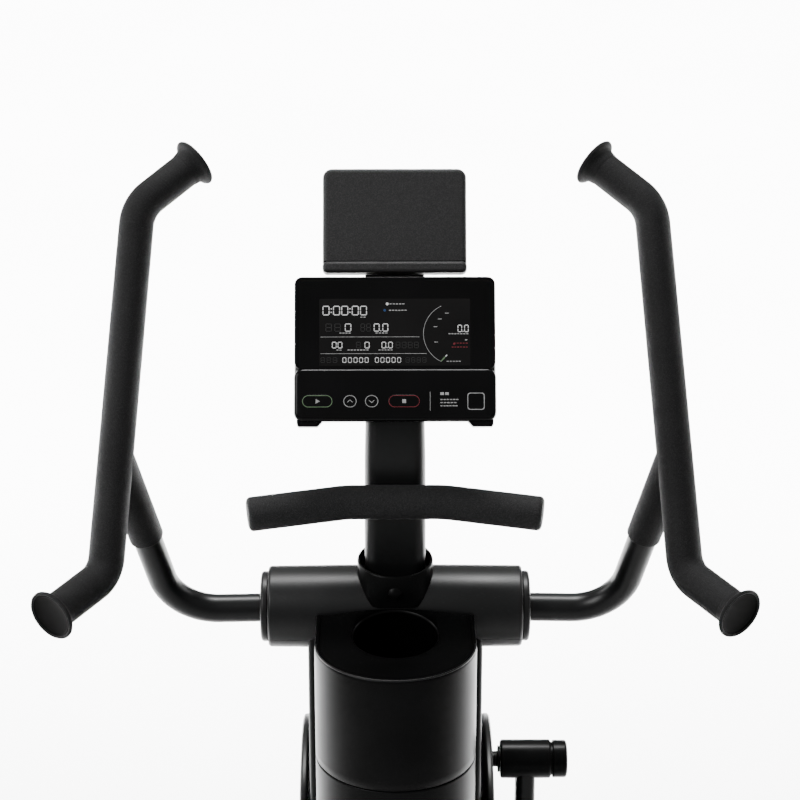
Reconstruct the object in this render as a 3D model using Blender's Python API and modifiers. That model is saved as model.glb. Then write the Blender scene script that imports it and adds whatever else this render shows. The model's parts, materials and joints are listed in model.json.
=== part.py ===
"""An elliptical trainer: high cranks, hanging pedal legs, swinging arms, a fixed handlebar and a console.

The user stands on the -Y side and faces +Y. The origin is on the floor under the middle of the machine.
"""

import math

import bmesh
import bpy
from mathutils import Matrix, Vector

# Running gap between neighbouring pieces.
GAP = 0.0003

# Hub, a wide barrel across the top of the column. The arms swing about its axis.
HUB_Y = 0.12
HUB_Z = 1.11
HUB_HALF = 0.147
HUB_RADIUS = 0.0485
HUB_END_RADIUS = 0.0470
HUB_BORE = 0.040
RING_WIDTH = 0.0085
RING_RADIUS = 0.041
CROSS_RADIUS = 0.025

# Column and its covers.
WALL = 0.003
COLUMN_HALF = 0.0905
COLUMN_ROUND_Y = HUB_Y - 0.1275
COLUMN_BACK_Y = HUB_Y - 0.045
COLUMN_FOOT_Z = 0.0605
TRAY_TOP_Z = HUB_Z + 0.014
TRAY_SEAM_Z = HUB_Z - 0.122
CUP_Y = HUB_Y - 0.1115
CUP_RADIUS = 0.0475
CUP_LONG = 1.08
CUP_FLOOR_Z = TRAY_TOP_Z - 0.078
CUP_TAPER = (0.96, 1.03)
CUP_LIP = 0.004
CUP_LIP_WIDTH = 0.007
TRAY_TOP = 0.004
CLEARANCE = 0.05
HOUSING_HALF = 0.101
HOUSING_FRONT_Y = 0.40

# Cranks, pins and legs.
CRANK_Y = HUB_Y + 0.077
CRANK_Z = HUB_Z - 0.375
CRANK_RADIUS = 0.130
DISC_RADIUS = 0.171
DISC_X = (0.1045, 0.1135)
BOSS_X = (0.108, 0.121)
BOSS_RADIUS = 0.030
FLANGE_X = (0.112, 0.1285)
FLANGE_RADIUS = 0.017
SHAFT_RADIUS = 0.0125
PIN_RADIUS = 0.010
LEG_HUB_X = (0.1292, 0.1914)
LEG_HUB_RADIUS = 0.0238
LEG_X = (0.1489, 0.1723)
LEG_HALF_DEPTH = 0.020
LEG_DROP = 0.490
LEG_REAR_Y = -0.33
PEDAL_X = (0.130, 0.290)
PEDAL_Y = (-0.36, -0.03)
PEDAL_HEIGHT = 0.026

# Swing links, which guide the lower ends of the legs.
LINK_Y = 0.46
LINK_Z = CRANK_Z - LEG_DROP
LINK_X = (0.120, 0.142)
LINK_HALF = 0.018

# Arms, given from the hub's centre: the bottom cap, two corners and the top cap.
ARM_LINE = (
    (0.3714, -0.1960, 0.0814),
    (0.3198, -0.1235, 0.0973),
    (0.2842, 0.0300, 0.4729),
    (0.2219, 0.0750, 0.5132),
)
STRUT_CORNER = (0.2572, 0.0, 0.0)
STRUT_JOIN = (0.3084, -0.0742, 0.2190)
ARM_BENDS = (0.034, 0.046)
STRUT_BEND = 0.065
ARM_TUBE_RADIUS = 0.0125
STRUT_RADIUS = 0.0165
ARM_WALL = 0.0018
FOAM_RADIUS = 0.0197
STRUT_FOAM_RADIUS = 0.0195
STRUT_STEP = 0.481
CAP_LENGTH = 0.012
CAP_RADIUS = 0.0282
CAP_DISH = ((0.0, -0.0022), (0.0205, -0.0020))

# Mast and handlebar, from the hub's centre.
MAST_BASE_Z = 0.0265
COLLAR_SECTIONS = (
    (-0.0260, 0.0162, 0.0560, 0.042, 0.0),
    (-0.0120, 0.0360, 0.0860, 0.074, 0.06),
    (-0.0040, 0.0627, 0.0875, 0.082, 0.13),
)
BAR_MIDDLE = (-0.0405, 0.148)
BAR_INNER = 0.055
BAR_HALF = 0.159
BAR_SWEEP = 0.0185
BAR_DROP = 0.006
BAR_BEND = 0.10
BAR_RADIUS = 0.0125
BAR_FOAM_RADIUS = 0.0195
BAR_END = 0.007

# Console, in its own frame: across, up the face and out towards the user.
CONSOLE_TILT = math.radians(27)
CONSOLE_FOOT = (0.0, HUB_Y - 0.045, HUB_Z + 0.246)
CONSOLE_WIDTH = 0.2246
CONSOLE_HEIGHT = 0.164
CONSOLE_DEPTH = 0.028
CONTROL_HEIGHT = 0.0590
CONTROL_PROUD = 0.013
DISPLAY_DEPTH = 0.004
WINDOW = ((-0.0845, 0.0635), (0.0840, 0.1390))
WINDOW_DEPTH = 0.0012
WINDOW_CORNER = 0.002
KEY_HEIGHT = 0.0222
KEY_TRAVEL = 0.0006
KEYS = {
    "start_key": (-0.0862, 0.0345),
    "up_key": (-0.0500, 0.0156),
    "down_key": (-0.0260, 0.0156),
    "stop_key": (0.0100, 0.0356),
}
KEY_WIDTH = 0.0145
SHELF_FOOT = (0.0, HUB_Y + 0.045, HUB_Z + 0.390)
SHELF_WIDTH = 0.1625
SHELF_HEIGHT = 0.1218
SHELF_DEPTH = 0.012

# Drive train inside the housing.
PULLEY_RADIUS = 0.095
PULLEY_X = (0.055, 0.070)
FLYWHEEL_Y = 0.28
FLYWHEEL_Z = 0.42
FLYWHEEL_RADIUS = 0.105
FLYWHEEL_X = (-0.020, 0.0)
SMALL_PULLEY_RADIUS = 0.018
AXLE_RADIUS = 0.006
BELT_THICK = 0.002
BRAKE_PIVOT_ANGLE = math.radians(215)
BRAKE_PIVOT_REACH = 0.135

# Base.
BASE_FRONT_Y = 0.44
BASE_REAR_Y = -0.46
STABILIZER_HALF = 0.25
STABILIZER_DEPTH = 0.060
TUBE_WALL = 0.002
WHEEL_Y = 0.466
WHEEL_Z = 0.030
WHEEL_RADIUS = 0.024
WHEEL_X = (0.200, 0.226)

SIDES = {"left": -1, "right": 1}


def clear_scene():
    for obj in list(bpy.data.objects):
        bpy.data.objects.remove(obj, do_unlink=True)


def new_collection(name):
    collection = bpy.data.collections.new(name)
    bpy.context.scene.collection.children.link(collection)
    return collection


def new_material(name, colour, roughness, metallic=0.0):
    made = bpy.data.materials.new(name)
    made.use_nodes = True
    shader = made.node_tree.nodes["Principled BSDF"]
    shader.inputs["Base Color"].default_value = (*colour, 1.0)
    shader.inputs["Roughness"].default_value = roughness
    shader.inputs["Metallic"].default_value = metallic
    return made


clear_scene()
PARTS = new_collection("elliptical_trainer")
CUTTERS = new_collection("cutters")
FOAM = new_material("foam", (0.012, 0.012, 0.013), 0.85)
PAINT = new_material("black_paint", (0.010, 0.010, 0.011), 0.35)
PLASTIC = new_material("satin_plastic", (0.012, 0.012, 0.013), 0.45)
GLOSS = new_material("gloss_plastic", (0.006, 0.006, 0.007), 0.12)
GLASS = new_material("display_glass", (0.015, 0.016, 0.020), 0.08)
RUBBER = new_material("rubber", (0.015, 0.015, 0.015), 0.75)
STEEL = new_material("steel", (0.55, 0.55, 0.57), 0.30, 1.0)
BELT = new_material("belt_rubber", (0.018, 0.018, 0.018), 0.6)


# Modelling helpers.


def place(name, mesh, finish):
    """The node made from this mesh, or a cutter where there is no finish."""
    obj = bpy.data.objects.new(name, mesh)
    if finish:
        mesh.materials.clear()
        mesh.materials.append(finish)
        PARTS.objects.link(obj)
    else:
        CUTTERS.objects.link(obj)
        obj.hide_render = True
        obj.display_type = "WIRE"
    return obj


def bevel(obj, width, segments=2):
    modifier = obj.modifiers.new("bevel", "BEVEL")
    modifier.width = width
    modifier.segments = segments
    modifier.limit_method = "ANGLE"
    modifier.angle_limit = math.radians(40)
    return obj


def block(name, low, high, finish=None, edge=0.0, segments=2):
    """A box between two corners, with rounded edges."""
    low = Vector(low)
    high = Vector(high)
    mesh = bpy.data.meshes.new(name)
    bm = bmesh.new()
    bmesh.ops.create_cube(bm, size=1.0)
    bmesh.ops.scale(bm, vec=high - low, verts=bm.verts)
    bmesh.ops.translate(bm, vec=(low + high) / 2, verts=bm.verts)
    bm.to_mesh(mesh)
    bm.free()
    obj = place(name, mesh, finish)
    if edge:
        bevel(obj, edge, segments)
    return obj


def rod(name, start, end, radius, finish=None, sides=24, end_radius=None):
    """A round bar, or a cone, from one point to another."""
    start = Vector(start)
    end = Vector(end)
    run = end - start
    mesh = bpy.data.meshes.new(name)
    bm = bmesh.new()
    far = radius if end_radius is None else end_radius
    bmesh.ops.create_cone(bm, cap_ends=True, segments=sides, radius1=radius, radius2=far, depth=run.length)
    turn = run.to_track_quat("Z", "Y").to_matrix().to_4x4()
    bmesh.ops.transform(bm, matrix=Matrix.Translation((start + end) / 2) @ turn, verts=bm.verts)
    bm.to_mesh(mesh)
    bm.free()
    for face in mesh.polygons:
        face.use_smooth = len(face.vertices) == 4
    return place(name, mesh, finish)


def along_x(name, span, y, z, radius, finish=None, sides=24):
    """A round bar across the machine between two X values."""
    return rod(name, (span[0], y, z), (span[1], y, z), radius, finish, sides)


def turned(name, profile, base, direction, finish=None, steps=24, closed=False):
    """A profile of (radius, height) points, running down its outer side, turned about a line."""
    mesh = bpy.data.meshes.new(name)
    count = len(profile)
    edges = [(i, (i + 1) % count) for i in range(count if closed else count - 1)]
    mesh.from_pydata([(radius, 0.0, height) for radius, height in profile], edges, [])
    obj = place(name, mesh, finish)
    screw = obj.modifiers.new("screw", "SCREW")
    screw.steps = steps
    screw.render_steps = steps
    screw.use_merge_vertices = True
    screw.merge_threshold = 0.00001
    screw.use_smooth_shade = True
    obj.location = Vector(base)
    obj.rotation_euler = Vector(direction).to_track_quat("Z", "Y").to_euler()
    return obj


def as_mesh(curve_obj, finish):
    """The node made of a curve object's surface, with its caps welded on."""
    CUTTERS.objects.link(curve_obj)
    bpy.context.view_layer.update()
    evaluated = curve_obj.evaluated_get(bpy.context.evaluated_depsgraph_get())
    mesh = bpy.data.meshes.new_from_object(evaluated)
    name = curve_obj.name
    matrix = curve_obj.matrix_world.copy()
    bpy.data.objects.remove(curve_obj, do_unlink=True)
    bm = bmesh.new()
    bm.from_mesh(mesh)
    bmesh.ops.remove_doubles(bm, verts=bm.verts, dist=0.00001)
    bmesh.ops.recalc_face_normals(bm, faces=bm.faces)
    bm.to_mesh(mesh)
    bm.free()
    mesh.name = name
    obj = place(name, mesh, finish)
    obj.matrix_world = matrix
    return obj


def tube(name, points, radius, finish=None, sides=16):
    """A round tube through the points."""
    curve = bpy.data.curves.new(name, "CURVE")
    curve.dimensions = "3D"
    curve.twist_mode = "MINIMUM"
    curve.bevel_depth = radius
    curve.bevel_resolution = sides // 2 - 2
    curve.use_fill_caps = True
    spline = curve.splines.new("POLY")
    spline.points.add(len(points) - 1)
    for knot, point in zip(spline.points, points):
        knot.co = (*point, 1.0)
    return as_mesh(bpy.data.objects.new(name, curve), finish)


def plate(name, outline, span, finish=None, upright=True):
    """A flat outline made thick: in Y and Z between two X values, or in X and Y between two Z values."""
    curve = bpy.data.curves.new(name, "CURVE")
    curve.dimensions = "2D"
    curve.fill_mode = "BOTH"
    curve.extrude = (span[1] - span[0]) / 2
    spline = curve.splines.new("POLY")
    spline.points.add(len(outline) - 1)
    for knot, point in zip(spline.points, outline):
        knot.co = (point[0], point[1], 0.0, 1.0)
    spline.use_cyclic_u = True
    obj = bpy.data.objects.new(name, curve)
    middle = (span[0] + span[1]) / 2
    if upright:
        turn = Matrix(((0, 0, 1), (1, 0, 0), (0, 1, 0))).to_4x4()
        obj.matrix_world = Matrix.Translation((middle, 0, 0)) @ turn
    else:
        obj.location = (0, 0, middle)
    return as_mesh(obj, finish)


def loft(name, rings, finish=None):
    """A closed skin over rings of equal point counts, capped at both ends."""
    mesh = bpy.data.meshes.new(name)
    bm = bmesh.new()
    loops = [[bm.verts.new(point) for point in ring] for ring in rings]
    for lower, upper in zip(loops, loops[1:]):
        for i in range(len(lower)):
            j = (i + 1) % len(lower)
            bm.faces.new((lower[i], lower[j], upper[j], upper[i]))
    bm.faces.new(loops[0])
    bm.faces.new(loops[-1])
    bmesh.ops.recalc_face_normals(bm, faces=bm.faces)
    bm.to_mesh(mesh)
    bm.free()
    return place(name, mesh, finish)


def change(obj, other, operation):
    modifier = obj.modifiers.new(other.name[:40], "BOOLEAN")
    modifier.operation = operation
    modifier.object = other
    return obj


def cut(obj, *others):
    for other in others:
        change(obj, other, "DIFFERENCE")
    return obj


def join(obj, *others):
    for other in others:
        change(obj, other, "UNION")
    return obj


def arc(centre, radius, start, end, steps):
    """Points on a circle in the plane, from one angle to another."""
    turn = [start + (end - start) * i / steps for i in range(steps + 1)]
    return [(centre[0] + radius * math.cos(a), centre[1] + radius * math.sin(a)) for a in turn]


def bend_path(points, radii, steps=6):
    """The line through the points with each inner corner turned into an arc of its own radius."""
    points = [Vector(point) for point in points]
    path = [points[0]]
    for before, corner, after, radius in zip(points, points[1:], points[2:], radii):
        back = (before - corner).normalized()
        ahead = (after - corner).normalized()
        half = back.angle(ahead) / 2
        centre = corner + (back + ahead).normalized() * (radius / math.sin(half))
        start = corner + back * (radius / math.tan(half)) - centre
        end = corner + ahead * (radius / math.tan(half)) - centre
        axis = start.cross(end)
        sweep = start.angle(end)
        path += [centre + Matrix.Rotation(sweep * i / steps, 3, axis) @ start for i in range(steps + 1)]
    return path + [points[-1]]


def round_outline(corners, radius, steps=4):
    """A closed flat outline with every corner rounded."""
    count = len(corners)
    outline = []
    for i in range(count):
        three = [Vector((*corners[(i + k) % count], 0.0)) for k in (-1, 0, 1)]
        arc_points = bend_path(three, (radius,), steps)[1:-1]
        outline += [(point.x, point.y) for point in arc_points]
    return outline


def inset(corners, distance):
    """The convex outline moved inwards; its corners run counterclockwise."""
    count = len(corners)
    moved = []
    for i in range(count):
        before, here, after = (Vector(corners[(i + k) % count]) for k in (-1, 0, 1))
        first = (here - before).normalized()
        second = (after - here).normalized()
        inward = Vector((-first.y, first.x)) + Vector((-second.y, second.x))
        reach = distance / math.cos(first.angle(second) / 2)
        moved.append(tuple(here + inward.normalized() * reach))
    return moved


def empty_at(name, location):
    """The joint's own point, which carries the pieces that move with it."""
    joint = bpy.data.objects.new(name, None)
    joint.location = location
    PARTS.objects.link(joint)
    return joint


def carry(joint, *pieces):
    for piece in pieces:
        world = piece.matrix_basis.copy()
        piece.parent = joint
        piece.matrix_parent_inverse = Matrix.Translation(-Vector(joint.location))
        piece.matrix_basis = world


def crank_pin(side):
    """The pin's centre: up on the right, down on the left."""
    return CRANK_Y, CRANK_Z + SIDES[side] * CRANK_RADIUS


def span(side, limits):
    """Two X values on the given side, in rising order."""
    return tuple(sorted(SIDES[side] * x for x in limits))


# Base.


def hollow_block(name, low, high, axis, finish):
    """A box tube that is open at both ends of one axis."""
    obj = block(name, low, high, finish)
    inner_low = [value + TUBE_WALL for value in low]
    inner_high = [value - TUBE_WALL for value in high]
    inner_low[axis] = low[axis] - 0.01
    inner_high[axis] = high[axis] + 0.01
    return cut(obj, block(name + "_bore", inner_low, inner_high))


def base():
    half = STABILIZER_DEPTH / 2
    rear = BASE_REAR_Y + half + GAP
    front = BASE_FRONT_Y - half - GAP
    hollow_block("base_rail", (-0.04, rear, 0.014), (0.04, front, 0.060), 1, PAINT)
    for name, y in (("front_stabilizer", BASE_FRONT_Y), ("rear_stabilizer", BASE_REAR_Y)):
        low = (-STABILIZER_HALF, y - half, 0.014)
        high = (STABILIZER_HALF, y + half, 0.054)
        beam = hollow_block(name, low, high, 0, PAINT)
        if name == "front_stabilizer":
            front_fittings(beam)
    for end, y in (("front", BASE_FRONT_Y), ("rear", BASE_REAR_Y)):
        for side, sign in SIDES.items():
            x = sorted((sign * (STABILIZER_HALF + GAP), sign * (STABILIZER_HALF + 0.035)))
            low = (x[0], y - half, 0.0)
            high = (x[1], y + half, 0.056)
            block(f"{end}_{side}_foot", low, high, RUBBER, 0.005, 1)


def front_fittings(beam):
    """The link upright with its axle, and the forks of the two transport wheels."""
    upright = block("upright", (-0.03, BASE_FRONT_Y - 0.01, 0.050), (0.03, 0.479, LINK_Z + 0.022))
    axle = along_x("link_axle", (-LINK_X[1] - 0.003, LINK_X[1] + 0.003), LINK_Y, LINK_Z, PIN_RADIUS)
    join(beam, upright, axle)
    for side in SIDES:
        for x in (WHEEL_X[0] - 0.005, WHEEL_X[1] + 0.001):
            cheek = span(side, (x, x + 0.004))
            low = (cheek[0], BASE_FRONT_Y + 0.028, WHEEL_Z - 0.010)
            high = (cheek[1], WHEEL_Y + 0.012, WHEEL_Z + 0.010)
            join(beam, block(f"{side}_cheek", low, high))
        ends = span(side, (WHEEL_X[0] - 0.004, WHEEL_X[1] + 0.004))
        join(beam, along_x(f"{side}_wheel_axle", ends, WHEEL_Y, WHEEL_Z, 0.004, sides=12))


def transport_wheels():
    """Two small wheels in the forks, each on its own axle and clear of the floor."""
    for side in SIDES:
        middle = SIDES[side] * sum(WHEEL_X) / 2
        half = (WHEEL_X[1] - WHEEL_X[0]) / 2
        profile = ((WHEEL_RADIUS, half - 0.003), (WHEEL_RADIUS, 0.003 - half), (0.021, -half))
        profile += ((0.0043, -half), (0.0043, half), (0.021, half))
        wheel = turned(f"{side}_transport_wheel", profile, (0, 0, 0), (1, 0, 0), RUBBER, 16, True)
        joint = empty_at(f"{side}_wheel_joint", (middle, WHEEL_Y, WHEEL_Z))
        wheel.location = joint.location
        carry(joint, wheel)


def cut_wheel_room(beam):
    """Room for the wheels in the stabilizer's front face."""
    for side in SIDES:
        room = span(side, (WHEEL_X[0] - 0.0008, WHEEL_X[1] + 0.0008))
        cut(beam, along_x(f"{side}_wheel_room", room, WHEEL_Y, WHEEL_Z, WHEEL_RADIUS + 0.002))


# Frame inside the column.


def main_post():
    post = block("main_post", (-0.03, 0.095, COLUMN_FOOT_Z), (0.03, 0.145, HUB_Z), PAINT)
    bore = block("post_bore", (-0.0275, 0.0975, 0.02), (0.0275, 0.1425, HUB_Z - 0.06))
    shell = along_x("bottom_bracket", (-0.035, 0.035), CRANK_Y, CRANK_Z, 0.027)
    gusset = block("gusset", (-0.025, 0.140, CRANK_Z - 0.02), (0.025, CRANK_Y - 0.01, CRANK_Z + 0.02))
    cross = along_x("cross_tube", (-HUB_HALF + 0.01, HUB_HALF - 0.01), HUB_Y, HUB_Z, CROSS_RADIUS)
    low, high = FLYWHEEL_Z - 0.018, FLYWHEEL_Z + 0.018
    left_cheek = block("left_fork", (-0.036, 0.110, low), (-0.029, FLYWHEEL_Y + 0.015, high))
    right_cheek = block("right_fork", (0.073, 0.110, low), (0.079, FLYWHEEL_Y + 0.015, high))
    bridge = block("fork_bridge", (0.028, 0.105, low), (0.077, 0.138, high))
    pivot_y, pivot_z = brake_pivot()
    lug = block("brake_lug", (-0.034, 0.140, pivot_z - 0.008), (-0.0275, pivot_y + 0.008, pivot_z + 0.008))
    lug_pin = along_x("brake_pin", (-0.032, 0.006), pivot_y, pivot_z, 0.004, sides=12)
    cut(post, bore)
    join(post, shell, gusset, cross, left_cheek, bridge, right_cheek, lug, lug_pin)
    cut(
        post,
        along_x("bearing_bore", (-0.04, 0.04), CRANK_Y, CRANK_Z, 0.0213),
        along_x("arm_shaft_bore", (-0.2, 0.2), HUB_Y, HUB_Z, STRUT_RADIUS + GAP),
        along_x("axle_bore", (-0.05, 0.09), FLYWHEEL_Y, FLYWHEEL_Z, AXLE_RADIUS + GAP),
    )
    for side in SIDES:
        ends = span(side, (0.021, 0.034))
        ring = ring_profile(0.021, SHAFT_RADIUS + GAP, 0.0065)
        turned(f"{side}_crank_bearing", ring, (sum(ends) / 2, CRANK_Y, CRANK_Z), (1, 0, 0), STEEL, 16, True)


def ring_profile(outer, inner, half):
    """A plain ring's section, for turning."""
    return ((outer, half), (outer, -half), (inner, -half), (inner, half))


def brake_pivot():
    return (
        FLYWHEEL_Y + BRAKE_PIVOT_REACH * math.cos(BRAKE_PIVOT_ANGLE),
        FLYWHEEL_Z + BRAKE_PIVOT_REACH * math.sin(BRAKE_PIVOT_ANGLE),
    )


# Covers.


def column_outline(gap, back):
    """The plan of the column: two straight sides and a half round towards the user."""
    radius = COLUMN_HALF - gap
    front = arc((0.0, COLUMN_ROUND_Y), radius, math.pi, 2 * math.pi, 16)
    return front + [(radius, back), (-radius, back)]


def hub_cutter(name, gap):
    return along_x(name, (-HUB_HALF - 0.02, HUB_HALF + 0.02), HUB_Y, HUB_Z, HUB_RADIUS + gap, sides=48)


def column_covers():
    top = TRAY_SEAM_Z - GAP
    shell = plate("column_shell", column_outline(0.0, COLUMN_BACK_Y), (COLUMN_FOOT_Z, top), PLASTIC, False)
    inner = column_outline(WALL, COLUMN_BACK_Y + 0.02)
    cut(shell, plate("column_room", inner, (0.0, top + 0.1), None, False))
    for side in SIDES:
        housing(side)


def housing(side):
    """One half of the drive housing, open at the middle plane and at the column's side."""
    back = COLUMN_BACK_Y + GAP
    corners = [(back, COLUMN_FOOT_Z), (HOUSING_FRONT_Y, COLUMN_FOOT_Z), (HOUSING_FRONT_Y, 0.80)]
    corners += [(0.33, 0.97), (0.21, HUB_Z - 0.015), (back, HUB_Z - 0.015)]
    outer = round_outline(corners, 0.012)
    inner = round_outline(inset(corners, WALL), 0.009)
    half = plate(f"{side}_housing", outer, span(side, (GAP, HOUSING_HALF)), PLASTIC)
    room = span(side, (-0.02, HOUSING_HALF - WALL))
    cut(
        half,
        plate(f"{side}_housing_room", inner, room),
        hub_cutter(f"{side}_housing_saddle", 0.0006),
        along_x(f"{side}_shaft_hole", span(side, (0.09, 0.12)), CRANK_Y, CRANK_Z, 0.020),
        block(f"{side}_back_mouth", (-0.08, 0.05, 0.08), (0.08, 0.09, 0.98)),
        block(f"{side}_rail_mouth", (-0.0303, 0.094, 0.05), (0.0303, 0.146, 0.08)),
        block(f"{side}_post_mouth", (-0.0303, 0.094, 1.0), (0.0303, 0.146, 1.2)),
    )


def cup_tray():
    top = (TRAY_SEAM_Z, TRAY_TOP_Z)
    tray = plate("cup_tray", column_outline(0.0, COLUMN_BACK_Y), top, PLASTIC, False)
    hollow = (TRAY_SEAM_Z - CLEARANCE, TRAY_TOP_Z - TRAY_TOP)
    room = plate("tray_room", column_outline(WALL, COLUMN_BACK_Y + CLEARANCE), hollow, None, False)
    above = (0, CUP_Y, TRAY_TOP_Z + CLEARANCE)
    keep = rod("cup_wall", (0, CUP_Y, CUP_FLOOR_Z - WALL), above, CUP_RADIUS + WALL)
    narrow, wide = CUP_RADIUS * CUP_TAPER[0], CUP_RADIUS * CUP_TAPER[1]
    cup = rod("cup_room", (0, CUP_Y, CUP_FLOOR_Z), above, narrow, None, 40, wide)
    edge = (0, CUP_Y, TRAY_TOP_Z - CUP_LIP), (0, CUP_Y, TRAY_TOP_Z + CUP_LIP)
    lip = rod("cup_lip", *edge, CUP_RADIUS, None, 40, CUP_RADIUS + CUP_LIP_WIDTH)
    stretch(keep, CUP_Y)
    stretch(cup, CUP_Y)
    stretch(lip, CUP_Y)
    cut(tray, cut(room, keep), cup, lip, hub_cutter("tray_saddle", 0.0006))


def stretch(obj, y):
    """Makes a round cutter a little longer front to back."""
    for vertex in obj.data.vertices:
        vertex.co.y = y + (vertex.co.y - y) * CUP_LONG


# Hub, mast and handlebar.


def hub():
    quarter = HUB_HALF / 2
    profile = ((HUB_END_RADIUS, HUB_HALF), (HUB_RADIUS - 0.0006, quarter), (HUB_RADIUS, 0.0))
    profile += ((HUB_RADIUS - 0.0006, -quarter), (HUB_END_RADIUS, -HUB_HALF))
    profile += ((HUB_BORE, -HUB_HALF), (HUB_BORE, HUB_HALF))
    shell = turned("hub_shell", profile, (0, HUB_Y, HUB_Z), (1, 0, 0), PLASTIC, 32, True)
    post_mouth = block("post_mouth", (-0.031, 0.094, HUB_Z - 0.07), (0.031, 0.146, HUB_Z - 0.01))
    mouth_low, mouth_high = (-0.0365, HUB_Y - 0.023, HUB_Z + 0.01), (0.0365, HUB_Y + 0.023, HUB_Z + 0.07)
    mast_mouth = block("mast_mouth", mouth_low, mouth_high)
    cut(shell, post_mouth, mast_mouth)
    for side, sign in SIDES.items():
        middle = sign * (HUB_HALF + GAP + RING_WIDTH / 2)
        ring = ring_profile(RING_RADIUS, STRUT_RADIUS + 0.001, RING_WIDTH / 2)
        turned(f"{side}_hub_ring", ring, (middle, HUB_Y, HUB_Z), (1, 0, 0), PLASTIC, 20, True)


def rounded_section(width, depth, radius, steps=3):
    half_x, half_y = width / 2, depth / 2
    corners = [(-half_x, -half_y), (half_x, -half_y), (half_x, half_y), (-half_x, half_y)]
    return round_outline(corners, radius, steps)


def mast_rings(grow):
    """The mast's sections: upright at the hub, then leaning with the console."""
    lean = math.sin(CONSOLE_TILT), math.cos(CONSOLE_TILT)
    back = CONSOLE_DEPTH + 0.021
    foot_y = CONSOLE_FOOT[1] - HUB_Y + back * lean[1]
    foot_z = CONSOLE_FOOT[2] - HUB_Z - back * lean[0]
    stations = [(0.0, MAST_BASE_Z, 0.0, 0.070, 0.042), (0.0, 0.100, 0.0, 0.070, 0.042)]
    stations += [(0.0, foot_z - 0.030, 0.15, 0.068, 0.040), (foot_y, foot_z, 0.6, 0.067, 0.038)]
    for reach, width in ((0.030, 0.066), (0.246, 0.061)):
        stations.append((foot_y + lean[0] * reach, foot_z + lean[1] * reach, 1.0, width, 0.036))
    rings = []
    for y, z, share, width, depth in stations:
        turn = Matrix.Rotation(-CONSOLE_TILT * share, 3, "X")
        centre = Vector((0.0, HUB_Y + y, HUB_Z + z))
        flat = rounded_section(width + 2 * grow, depth + 2 * grow, 0.014)
        rings.append([centre + turn @ Vector((a, b, 0.0)) for a, b in flat])
    return rings


def mast():
    body = loft("mast", mast_rings(0.0), PAINT)
    inner = mast_rings(-0.0025)
    inner[0] = [point - Vector((0, 0, 0.01)) for point in inner[0]]
    inner[-1] = [point + Vector((0, 0.0045, 0.0089)) for point in inner[-1]]
    cut(body, loft("mast_bore", inner))


def mast_collar():
    """A collar round the foot of the mast, with a shield that runs down the hub towards the user."""
    rings = []
    for y, z, width, depth, slope in COLLAR_SECTIONS:
        flat = rounded_section(width, depth, min(width, depth) * 0.42, 5)
        rings.append([Vector((a, HUB_Y + y + b, HUB_Z + z + b * slope)) for a, b in flat])
    collar = loft("mast_collar", rings, PLASTIC)
    cut(collar, hub_cutter("collar_saddle", 0.0006), loft("collar_mouth", mast_rings(0.0008)))


def handlebar_line():
    y, z = HUB_Y + BAR_MIDDLE[0], HUB_Z + BAR_MIDDLE[1]
    end_y, end_z = y - BAR_SWEEP, z - BAR_DROP
    points = [(-BAR_HALF, end_y, end_z), (-BAR_INNER, y, z), (BAR_INNER, y, z), (BAR_HALF, end_y, end_z)]
    return bend_path(points, (BAR_BEND, BAR_BEND), 4)


def fixed_handlebar():
    line = handlebar_line()
    ends = (line[0] - line[1]).normalized(), (line[-1] - line[-2]).normalized()
    tube("handlebar_tube", line, BAR_RADIUS, PAINT, 10)
    closed_end, open_end = line[0] + ends[0] * BAR_END, line[-1] + ends[1] * BAR_END
    foam = tube("handlebar_foam", [closed_end] + line + [open_end], BAR_FOAM_RADIUS, FOAM, 12)
    room = [line[0] + ends[0] * GAP] + line + [open_end + ends[1] * 0.01]
    cut(foam, tube("handlebar_room", room, BAR_RADIUS + GAP, None, 10))


# Console.


def console_frame(foot):
    """Across, up the face and out towards the user, from the middle of the lower edge of the face."""
    up = Vector((0.0, math.sin(CONSOLE_TILT), math.cos(CONSOLE_TILT)))
    out = Vector((0.0, -math.cos(CONSOLE_TILT), math.sin(CONSOLE_TILT)))
    turn = Matrix((Vector((1, 0, 0)), up, out)).transposed().to_4x4()
    return Matrix.Translation(foot) @ turn


def on_console(obj, foot=CONSOLE_FOOT):
    obj.matrix_world = console_frame(foot)
    return obj


def slab(name, low, high, corner, finish=None, foot=CONSOLE_FOOT):
    """A slab in the console's frame, with round corners in its face."""
    middle = Vector(((low[0] + high[0]) / 2, (low[1] + high[1]) / 2))
    flat = [Vector(point) + middle for point in rounded_section(high[0] - low[0], high[1] - low[1], corner)]
    rings = [[(point.x, point.y, depth) for point in flat] for depth in (low[2], high[2])]
    return on_console(loft(name, rings, finish), foot)


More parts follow.
